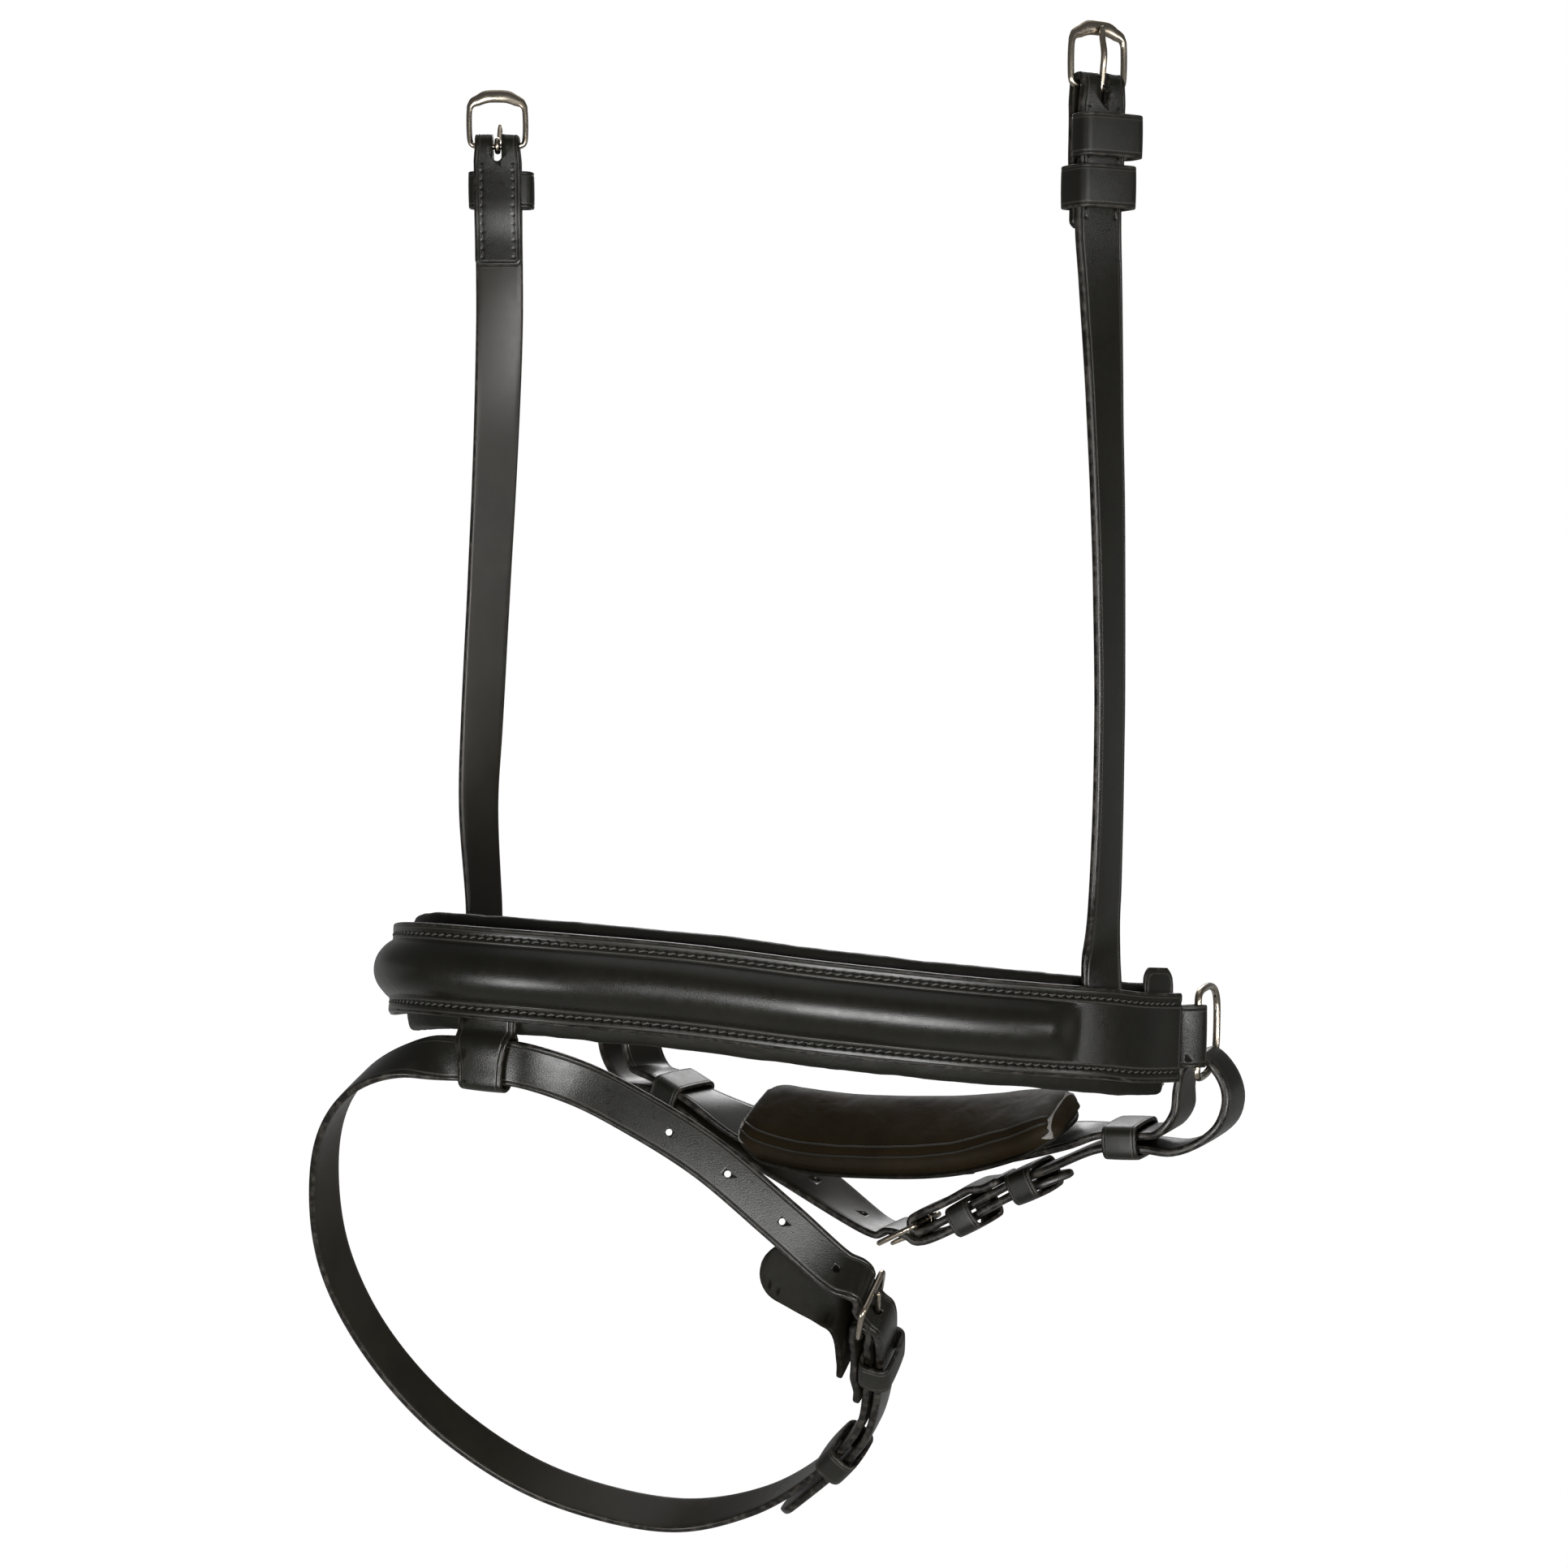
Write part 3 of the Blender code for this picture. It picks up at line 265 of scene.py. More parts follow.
def by_side(points):
    """Rows from points with the direction of the strap's width, which gives the face."""
    spots = [point for point, side in points]
    return [(point, side.cross(beside(spots, i)).normalized()) for i, (point, side) in enumerate(points)]


def rows_of(*spots):
    """Rows from x, y, z and the three parts of the face normal."""
    return [(vec(*spot[:3]), vec(*spot[3:])) for spot in spots]


def laid_on(route, items, sign=1.0):
    """Rows that follow another route at (distance, lift) pairs; sign -1 turns the face over."""
    return [(route.place(d, lift), route.at(d)[2] * sign) for d, lift in items]


class Buckle:
    """Frame with a bar at its origin: along points to the outer bar, face to the outside."""

    def __init__(self, bar, along, face, inner, length):
        self.bar = Vector(bar)
        self.along = Vector(along).normalized()
        face = Vector(face)
        self.face = (face - self.along * face.dot(self.along)).normalized()
        self.across = self.along.cross(self.face)
        self.inner = inner / 2.0
        self.length = length

    def spot(self, across, along, out=0.0):
        return self.bar + self.across * across + self.along * along + self.face * out

    def arc(self, r, angles):
        """Rows of a strap that turns round the bar at a radius; 90 degrees is straight out."""
        ways = [polar(self.along, self.face, degrees) for degrees in angles]
        return [(self.bar + out * r, out) for out in ways]

    def fold(self, thick, low=0.0):
        """Rows of a strap that turns round the bar, from the back to the front."""
        return self.arc(BAR_RADIUS + GAP + thick / 2.0 + low, (-90, -60, -30, 0, 30, 60, 90))


# shared ways of making pieces


def loft(name, rings, closed=False):
    """A grid wrapped onto rings of (point, along, across, rim, grain) and sewn shut.

    Along and across go to the map Strap, and rim, the distance to the edge, with grain, 1 on the
    grain side and 0 on the flesh side, go to the map Finish, all in millimetres.
    """
    around = len(rings[0])
    rows = [ring + [ring[0]] for ring in rings]
    if closed:
        rows.append(rows[0])
    mesh = bmesh.new()
    bmesh.ops.create_grid(mesh, x_segments=around, y_segments=len(rows) - 1, size=1.0)
    strap_map = mesh.loops.layers.uv.new("Strap")
    finish_map = mesh.loops.layers.uv.new("Finish")
    flat = [spot for row in rows for spot in row]
    mesh.verts.ensure_lookup_table()
    for vert, spot in zip(mesh.verts, flat):
        vert.co = spot[0] * MM
    for face in mesh.faces:
        face.smooth = True
        for corner in face.loops:
            spot = flat[corner.vert.index]
            corner[strap_map].uv = (spot[1], spot[2])
            corner[finish_map].uv = (spot[3], spot[4])
    bmesh.ops.remove_doubles(mesh, verts=mesh.verts, dist=1e-8)
    if not closed:
        rim = [edge for edge in mesh.edges if edge.is_boundary]
        ends = bmesh.ops.holes_fill(mesh, edges=rim, sides=0)["faces"]
        for face in ends:
            near = [tuple(corner.vert.co) for corner in face.loops]
            first = near[0]
            beside = next(e for v in face.verts if tuple(v.co) == first for e in v.link_faces if e is not face)
            spot = beside.loops[0]
            for corner in face.loops:
                corner[strap_map].uv = spot[strap_map].uv
                corner[finish_map].uv = (0.0, 0.5)
    return finished(name, mesh)


def linked(name, data):
    """New object in the scene."""
    made = bpy.data.objects.new(name, data)
    bpy.context.scene.collection.objects.link(made)
    return made


def finished(name, mesh):
    """Turns the faces outwards and makes the object."""
    bmesh.ops.recalc_face_normals(mesh, faces=mesh.faces[:])
    if mesh.calc_volume(signed=True) < 0:
        bmesh.ops.reverse_faces(mesh, faces=mesh.faces[:])
    data = bpy.data.meshes.new(name)
    mesh.to_mesh(data)
    mesh.free()
    return linked(name, data)


def cut(piece, tools):
    """Cuts holes and slots, makes them part of the mesh and takes the cutters away."""
    for tool in tools:
        step = piece.modifiers.new(tool.name, "BOOLEAN")
        step.operation = "DIFFERENCE"
        step.solver = "EXACT"
        step.object = tool
    bpy.context.view_layer.update()
    graph = bpy.context.evaluated_depsgraph_get()
    made = bpy.data.meshes.new_from_object(piece.evaluated_get(graph), preserve_all_data_layers=True,
                                           depsgraph=graph)
    made.name = piece.name
    piece.modifiers.clear()
    piece.data = made
    for tool in tools:
        bpy.data.objects.remove(tool, do_unlink=True)


def punch(name, ends, spot, sides, turned=0.5):
    """Straight cutter from one end to the other; spot turns an end, a cosine and a sine into a point."""
    rings = []
    for end in ends:
        angles = [2.0 * math.pi * (j + turned) / sides for j in range(sides)]
        rings.append([(spot(end, math.cos(t), math.sin(t)), 0.0, 0.0, 0.05, 0.3) for t in angles])
    return loft(name, rings)


def cutter(name, centre, run, face, half, side_half, deep):
    """Oval punch: a slot along run, half long and side_half wide, through the leather."""
    side = run.cross(face).normalized()
    straight = max(half - side_half, 0.0)

    def spot(out, x, y):
        shift = straight if x > 0 else -straight
        return centre + run * (x * side_half + shift) + side * (y * side_half) + face * out

    return punch(name, (-deep, deep), spot, 20)


def slot_tools(name, buckle, thick, below):
    """Crew slot: a disc through the fold and an oval slot through both layers below it."""
    reach = BAR_RADIUS + GAP + thick + 0.15
    disc = punch(name + "_disc", (-SLOT_HALF, SLOT_HALF),
                 lambda a, x, y: buckle.spot(a, x * reach, y * reach), 24, turned=0.0)
    centre = buckle.bar - buckle.along * (below / 2 - 0.5)
    return [disc, cutter(name + "_slot", centre, buckle.along, buckle.face, below / 2 + 0.5, SLOT_HALF, reach)]


def prong_way(name, buckle):
    """Channel for the tongue where it passes up through the billet's hole."""
    return punch(name, (2.2, buckle.length - 2.0), lambda d, x, y: buckle.spot(x * 1.15, d, 2.15 + y * 1.25), 16)


def strap_section(half, thick, cup=0.0, crown=0.12):
    """Ring of (across, lift, rim, grain) with rounded edges and slightly crowned faces."""
    corner = min(thick * 0.36, half * 0.5)
    h = thick / 2.0
    wide = half - corner
    ring = []

    def add(a, b, grain):
        ring.append((a, b - cup * a * a / 2.0, half - abs(a), grain))

    def bend(first, side, level, grain, change):
        for degrees in (0.0, 22.5, 45.0, 67.5, 90.0):
            t = math.radians(first - degrees)
            add(side * wide + math.cos(t) * corner, level * (h - corner) + math.sin(t) * corner,
                grain + change * degrees / 180.0)

    flats = (-0.8, -0.5, -0.2, 0.2, 0.5, 0.8)
    for f in flats:
        add(f * wide, h + crown * (1.0 - f * f), 1.0)
    bend(90.0, 1, 1, 1.0, -1)
    bend(0.0, 1, -1, 0.5, -1)
    for f in reversed(flats):
        add(f * wide, -h - crown * 0.3 * (1.0 - f * f), 0.0)
    bend(-90.0, -1, -1, 0.0, 1)
    bend(180.0, -1, 1, 0.5, 1)
    return ring


def end_width(ahead, half, shape):
    """Half width of a strap at a distance from its end."""
    if shape == "round" and ahead < half:
        return max(math.sqrt(max(half * half - (half - ahead) ** 2, 0.0)), half * 0.12)
    if shape == "point" and ahead < half * 1.3:
        f = ahead / (half * 1.3)
        return half * (0.16 + 0.84 * (1.0 - (1.0 - f) ** 1.7))
    if shape == "soft" and ahead < 2.0:
        return half - 1.4 * (1.0 - ahead / 2.0) ** 2
    return half


# where a rounded or pointed end has cross sections, in half widths from its tip
TIP_MARKS = (0.02, 0.06, 0.12, 0.2, 0.3, 0.45, 0.6, 0.8, 1.0, 1.15, 1.3)


def strap(name, route, width, thick, start=0.0, end=None, lift=0.0, ends=("soft", "soft"), taper=None, skive=None,
          cup=None, wave=0.1):
    """Flat leather strap along a route, or part of it; lift moves it along the face normal.

    taper and skive scale its width and thickness with the distance, cup curves it across, and wave
    lets its faces rise and fall a little as leather does.
    """
    half = width / 2.0
    if end is None:
        end = route.length
    marks = []
    for shape, base, sign in ((ends[0], start, 1), (ends[1], end, -1)):
        if shape == "soft":
            marks += [base + sign * d for d in (0.3, 0.7, 1.2, 2.0)]
        else:
            marks += [base + sign * half * f for f in TIP_MARKS]
    rings = []
    for s in route.stops(start, end, extra=marks):
        wide = min(end_width(s - start, half, ends[0]), end_width(end - s, half, ends[1]))
        if taper:
            wide *= taper(s)
        ahead = min(s - start, end - s)
        point, run, face, side = route.at(s)
        deep = thick * skive(s) if skive else thick
        deep *= 1.0 - 0.3 * (1.0 - ease(ahead / 1.2))
        curve = cup(s) if cup else 0.0
        ring = []
        for a, b, rim, grain in strap_section(wide, deep, curve):
            spot = point + side * a + face * (b + lift)
            drift = noise.noise(spot * 0.045) * wave
            ring.append((spot + face * drift, s, a, min(rim, ahead), grain))
        rings.append(ring)
    return loft(name, rings)


def crew_taper(middle):
    """The fold round a buckle's bar is a little narrower than the strap."""
    return lambda s: 0.94 + 0.06 * ease((abs(s - middle) - 4.0) / 5.0)


def fair(points, radii, closed=False, step=0.6):
    """Smooth path and radii through sparse points."""
    count = len(points)
    if closed:
        padded = [points[-1]] + list(points) + [points[0], points[1]]
        sizes_at = [radii[-1]] + list(radii) + [radii[0], radii[1]]
    else:
        padded = with_ends(points)
        sizes_at = [radii[0]] + list(radii) + [radii[-1]]
    knots = knots_of(padded)
    path = []
    thick = []
    for i, share, u in curve_steps(padded, knots, count + 1 if closed else count, step):
        f = ease(share)
        path.append(blend_knots(padded, knots, i, u))
        thick.append(tuple(x * (1.0 - f) + y * f for x, y in zip(sizes_at[i], sizes_at[i + 1])))
    if not closed:
        path.append(points[-1])
        thick.append(radii[-1])
    return path, thick


def wire(name, path, radii, flat, closed=False, sides=16):
    """Round or oval bar along points; radii are (in the plane, along its normal), flat the normal."""
    rings = []
    count = len(path)
    s = 0.0
    for i, point in enumerate(path):
        before = path[i - 1] if closed or i > 0 else path[i]
        after = path[(i + 1) % count] if closed or i < count - 1 else path[i]
        run = (after - before).normalized()
        up = (flat - run * flat.dot(run)).normalized()
        side = run.cross(up)
        wide, tall = radii[i]
        ring = []
        for j in range(sides):
            a = 2.0 * math.pi * (j + 0.5) / sides
            spot = point + side * (math.cos(a) * wide) + up * (math.sin(a) * tall)
            ring.append((spot, s, math.degrees(a), wide, math.sin(a)))
        rings.append(ring)
        s += (after - point).length
    return loft(name, rings, closed)


def keeper(name, place, half, low, high, band=KEEPER_BAND, body=None):
    """Leather band closed round a strap at a centre, run and face; low and high are its inner limits.

    It rides on the body that has its name, unless another one is given.
    """
    centre, run, face = place[:3]
    side = run.cross(face).normalized()
    wall = mm(sizes().keeper_wall)
    w = wall / 2.0
    corner = min(KEEPER_CORNER, (high - low) / 2.0 + w - 0.05)
    wide = half + w
    middle = (low + high) / 2.0
    tall = (high - low) / 2.0 + w
    path = []
    for quarter, (sa, sb) in enumerate(((1, 1), (-1, 1), (-1, -1), (1, -1))):
        for j in range(7):
            angle = math.radians(quarter * 90 + 15 * j)
            path.append((sa * (wide - corner) + math.cos(angle) * corner,
                         middle + sb * (tall - corner) + math.sin(angle) * corner, angle))
        straight = wide - corner if quarter % 2 == 0 else tall - corner
        if straight > 0.8:
            ahead = math.radians(quarter * 90 + 90)
            for f in (0.6, 0.2, -0.2, -0.6):
                bow = 0.22 * (1.0 - f * f) * min(straight / 5.0, 1.0)
                if quarter % 2 == 0:
                    path.append((sa * f * straight, middle + sb * (tall + bow), ahead))
                else:
                    path.append((sa * (wide + bow), middle + sb * f * straight, ahead))
    section = strap_section(band / 2.0, wall, crown=0.1)
    rings = []
    s = 0.0
    last = None
    for a, b, angle in path:
        out = side * math.cos(angle) + face * math.sin(angle)
        base = centre + side * a + face * b
        if last is not None:
            s += (base - last).length
        last = base
        rings.append([(base + run * x + out * y, s, x, rim, grain) for x, y, rim, grain in section])
    dress(loft(name.capitalize(), rings, closed=True), body or name, "Keeper leather", name)


def sew(name, spots, length=2.1, width=0.62, height=0.44, slant=17.0):
    """One row of stitches: short waxed threads that lie in their dents, at (point, run, face)."""
    mesh = bmesh.new()
    for point, run, face in spots:
        run = Matrix.Rotation(math.radians(slant), 3, face) @ run
        side = run.cross(face)
        matrix = Matrix((side * (width / 2), face * (height / 2), run * (length / 2))).transposed().to_4x4()
        matrix = Matrix.Translation(point * MM) @ Matrix.Scale(MM, 4) @ matrix
        bmesh.ops.create_uvsphere(mesh, u_segments=7, v_segments=5, radius=1.0, matrix=matrix)
    for face in mesh.faces:
        face.smooth = True
    return finished(name, mesh)


def row_of(route, start, end, lift, across):
    """Spots for one row of stitches on a route."""
    pitch = mm(sizes().stitch_pitch)
    start = math.ceil(start / pitch) * pitch
    count = max(1, int((end - start) / pitch))
    spots = []
    for i in range(count):
        point, run, face, side = route.at(start + pitch * (i + 0.5))
        up = face if lift >= 0 else -face
        spots.append((point + face * lift + side * across, run, up))
    return spots


# centre lines of the straps

BAND_ROWS = [
    (12.3, 49, -269), (9, 39, -268), (6, 20, -265), (2, 6, -262), (-5, -8, -259.5), (-20, -28, -256),
    (-36, -44, -253), (-53, -59, -250), (-81, -77, -246), (-111, -94, -243.5), (-132, -101, -243),
    (-151, -102.5, -243.5), (-164.7, -98.9, -245), (-179, -89.8, -248), (-193.8, -74.3, -253),
    (-209.1, -57.2, -258), (-222.8, -34.4, -263), (-226.8, -14, -266.5), (-225.5, -1, -269), (-222, 17, -272),
    (-216, 35, -274), (-212, 45, -274),
]
LEAN = 5.0
BAND_START = 10.0
NEAR_SEAM = 32.2
FAR_SEAM = 40.7
BAND_THICK = 1.8
MIDDLE_THICK = 2.8
MIDDLE = -0.1 - MIDDLE_THICK / 2
LINING_TOP = 15.6
LINING_BOTTOM = 17.2
PAD_ROOM = 0.8
TAB_AT = 224.8


@cache
def band_route():
    points = [vec(*row) for row in BAND_ROWS]
    rows = []
    for i, point in enumerate(points):
        flat = UP.cross(beside(points, i)).normalized()
        rows.append((point, polar(flat, UP, LEAN)))
    return Route(rows)


def band_marks():
    """Start and end of the outer leather, and where the feet of the cheek straps go in."""
    start = BAND_START
    end = band_route().length - BAND_START
    return start, end, start + NEAR_SEAM, end - FAR_SEAM


def plumb(foot, out, lift, height):
    """Point straight above the foot, inside the band's own layers."""
    high = (UP - out * UP.dot(out)).normalized()
    return foot + out * lift + high * height


# bar, azimuth of the buckle's face, azimuth that the foot leans to, and points with azimuths on the way down
CHEEKS = {
    "near": ((0, 0, 0), -24, -7, ((1.6, 0.4, -52, -19), (2.8, 1.7, -86, -9), (3.8, 3.5, -130, -3),
                                  (4.0, 4.8, -180, 0), (2.9, 5.5, -222, -4))),
    "far": ((-216, 0, 0), 127, 178, ((-217, 1.0, -56, 135), (-218.7, 0.4, -95, 150), (-220.9, -1.1, -138, 157),
                                     (-223.4, -2.8, -185, 159), (-224.6, -3.6, -212, 167))),
}


@cache
def cheek(label):
    """Buckle and route of a cheek strap: turned end, fold, front layer, then the part that hangs."""
    bar, azimuth, lean, hanging = CHEEKS[label]
    thick = mm(sizes().cheek_thick)
    wall = mm(sizes().keeper_wall)
    start, end, near_foot, far_foot = band_marks()
    foot, run, out, side = band_route().at(near_foot if label == "near" else far_foot)
    buckle = Buckle(bar, UP, turn(azimuth), mm(sizes().cheek_width) + 0.6, 14.5)
    inner = thick / 2 + GAP / 2
    wide = thick / 2 + GAP + wall / 2
    layers = ((8.0, wide), (14.0, wide), (20.5, wide), (28.0, inner), (38.0, inner))
    rows = [(buckle.bar - buckle.along * d - buckle.face * lift, -buckle.face) for d, lift in reversed(layers)]
    rows += buckle.fold(thick)
    rows += [(buckle.bar - buckle.along * d + buckle.face * lift, buckle.face) for d, lift in layers]
    rows += [(vec(x, y, z), turn(way)) for x, y, z, way in hanging]
    rows += [(plumb(foot, out, MIDDLE + 0.3, 24.0), (out + turn(lean)).normalized()),
             (plumb(foot, out, MIDDLE, 14.0), out), (plumb(foot, out, MIDDLE, -8.0), out)]
    return buckle, Route(rows)


def turned_end(buckle, bed, thick, layers):
    """Rows of the end that lies behind a strap's bed, then those round the buckle's bar."""
    low = BAR_RADIUS + GAP + thick / 2
    behind = laid_on(bed, layers, -1.0)
    return behind + [(buckle.spot(0, -5.0, -low), -buckle.face)] + buckle.fold(thick)


def over_bar(buckle, thick):
    """Rows of a billet that comes from under the outer bar and lies over the heel bar's fold."""
    under = SIDE_RADIUS + GAP + thick / 2 + 0.1
    rows = [(buckle.spot(0, buckle.length, -under), buckle.face),
            (buckle.spot(0, buckle.length * 0.76, -under), buckle.face)]
    return rows + buckle.arc(BAR_RADIUS + GAP * 2 + thick * 1.5 + 0.25, (18, 50, 85))


FLASH_DROP = 25.0
TAB_THICK = 1.1
TAB_ROOM = 1.3
TAB_HANG = 29.8


@cache
def flash_tab():
    """Route of the loop that carries the flash strap."""
    foot, run, out, side = band_route().at(TAB_AT)
    down = -side
    half = mm(sizes().flash_thick) / 2 + TAB_THICK / 2 + TAB_ROOM
    layers = ((4.5, 0.7), (10.0, 0.7), (14.0, 0.75), (16.4, 0.85), (19.2, half), (26.0, half))
    rows = [(foot + down * height + out * (MIDDLE - lift), -out) for height, lift in layers]
    for degrees in (-60, -30, 0, 30, 60):
        way = polar(down, out, degrees)
        rows.append((foot + down * TAB_HANG + out * MIDDLE + way * half, way))
    rows += [(foot + down * height + out * (MIDDLE + lift), out) for height, lift in reversed(layers)]
    return Route(rows)


@cache
def flash_parts():
    """Buckle, bed, whole route and marks of the flash strap."""
    t = mm(sizes().flash_thick)
    band = band_route()
    side = band.at(TAB_AT)[3]
    buckle = Buckle((-43, -45, -340), (0.44, -0.53, 0.73), (0.89, 0.32, -0.32),
                    mm(sizes().flash_width) + 0.7, 14.0)
    main_rows = rows_of(
        (-46.8, -35.6, -355, 0.97, 0.22, -0.05), (-50, -31.8, -363.2, 0.95, 0.26, -0.16),
        (-55, -28, -376, 0.87, 0.32, -0.36), (-73, -23, -396, 0.65, 0.3, -0.69),
        (-98, -22, -414, 0.2, 0.33, -0.92), (-126, -28, -423, -0.2, 0.4, -0.89),
        (-159, -47, -415, -0.5, 0.32, -0.8),
        (-182, -66, -395, -0.72, 0.22, -0.66), (-196, -83, -368, -0.86, 0.1, -0.5),
        (-201, -96, -339, -0.98, 0.02, -0.2), (-197, -104, -310, -0.98, -0.15, 0.1),
        (-188, -108, -290, -0.84, -0.3, 0.45), (-175, -109, -277, -0.4, -0.4, 0.82),
        (-160, -107, -270, 0.15, -0.55, 0.82))
    front = [(buckle.spot(0, -6.0, BAR_RADIUS + GAP + t / 2), buckle.face)]
    bed = Route(front + main_rows[:6])
    wide = t + GAP * 3 + mm(sizes().keeper_wall)
    inner = turned_end(buckle, bed, t, ((27.5, -(t + 0.6)), (22.5, -(t + 0.6)), (17.0, -wide), (11.0, -wide),
                                        (4.5, -wide)))
    through = []
    for d in (11.0, 0.0, -11.0):
        point, run, face, across = band.at(TAB_AT + d)
        through.append((point - side * FLASH_DROP + face * MIDDLE, face))
    through += rows_of((-110, -90, -273.5, 0.61, -0.77, 0.16), (-96, -83, -281, 0.64, -0.74, 0.21),
                       (-78, -74, -293, 0.64, -0.74, 0.21))
    through += by_side([
        (vec(-59, -65, -310), vec(-0.3, -0.49, -0.81)), (buckle.spot(0, 17.6, -10.0), vec(-0.15, -0.65, -0.74)),
        (buckle.spot(0, 17.6, -5.6), vec(-0.05, -0.74, -0.67)), (buckle.spot(0, 16.6, -3.4), -buckle.across),
        (buckle.spot(0, buckle.length, -2.4), -buckle.across),
    ])[:-1]
    billet = over_bar(buckle, t)
    billet += laid_on(bed, ((6.0, t + 1.2), (14.0, t + 0.8), (26.0, t + 1.0), (38.0, t + 1.0), (48.0, t + 1.05),
                            (58.0, t + 1.1), (88.0, t + 3.0)))
    route = Route(inner + front + main_rows + through + billet)
    bar_row = len(inner + front + main_rows + through)
    return SimpleNamespace(buckle=buckle, bed=bed, wide=wide, route=route,
                           at_fold=route.row_dist[len(inner) - MIDDLE_OF_FOLD], at_bar=route.row_dist[bar_row])


def pair_of(centre, run, face, apart, reach=7.0):
    """Two parallel layers of the chin strap where a keeper holds them together."""
    run = run.normalized()
    face = (face - run * face.dot(run)).normalized()
    half = face * (apart / 2)
    low = [(centre - run * reach + half, face), (centre + run * reach + half, face)]
    high = [(centre + run * reach - half, -face), (centre - run * reach - half, -face)]
    return SimpleNamespace(centre=centre, place=(centre, run, face), apart=apart, low=low, high=high)


RING_HALF = 13.2
RING_REACH = 19.8
RING_SQUARE = 0.55
CHAPE_WIDTH = 18.4
CHAPE_THICK = 1.1
RING_LOOP = (
    (-7.5, 36.9), (0.5, 33.1), (7.0, 26.7), (8.8, 18.9), (6.1, 11.9), (0.0, 7.2), (-5.3, 11.4), (-6.9, 18.0),
    (-7.3, 25.0), (-11.5, 31.1),
)


def ring_loop(hold, outward, stretch):
    """Points of the chin strap where it hangs over a ring: outward distance and depth below the bar."""
    flat = vec(outward.x, outward.y, 0.0).normalized()
    return [hold + flat * a - UP * (b + stretch * max(b - 12.0, 0.0) / 20.0) for a, b in RING_LOOP]


@cache
def ring_end(label):
    """Chape route, ring path and hold point at one end of the band."""
    band = band_route()
    edge, inward, azimuth, hold_share = 0.0, 1, 100.0, 0.465
    if label == "far":
        edge, inward, azimuth, hold_share = band.length, -1, 80.0, 0.5
    point, run, face, side = band.at(edge)
    bar = point + face * MIDDLE
    eye = Buckle(bar, -run * inward, face, 22.0, 12.0)
    back = []
    front = []
    for d, gap in ((17.0, 0.62), (13.0, 0.62), (9.5, 0.62), (7.0, 0.85), (5.0, 1.4)):
        p, r, f, w = band.at(edge + inward * d)
        back.append((p + f * (MIDDLE - gap), -f))
        front.insert(0, (p + f * (MIDDLE + gap), f))
    chape = Route(back + eye.fold(CHAPE_THICK, mm(sizes().ring_wire) - BAR_RADIUS) + front)
    across = side if side.z > 0 else -side
    swung = turn(azimuth)
    path = [bar + across * (f * RING_HALF) for f in (-0.9, -0.3, 0.3, 0.9)]
    for degrees in range(10, 180, 16):
        t = math.radians(degrees)
        u = math.sin(t) ** RING_SQUARE
        path.append(bar + swung * (u * RING_REACH) + across * (squared(math.cos(t), RING_SQUARE) * RING_HALF))
    return SimpleNamespace(chape=chape, path=path, flat=swung.cross(across),
                           hold=bar + swung * (RING_REACH * hold_share))


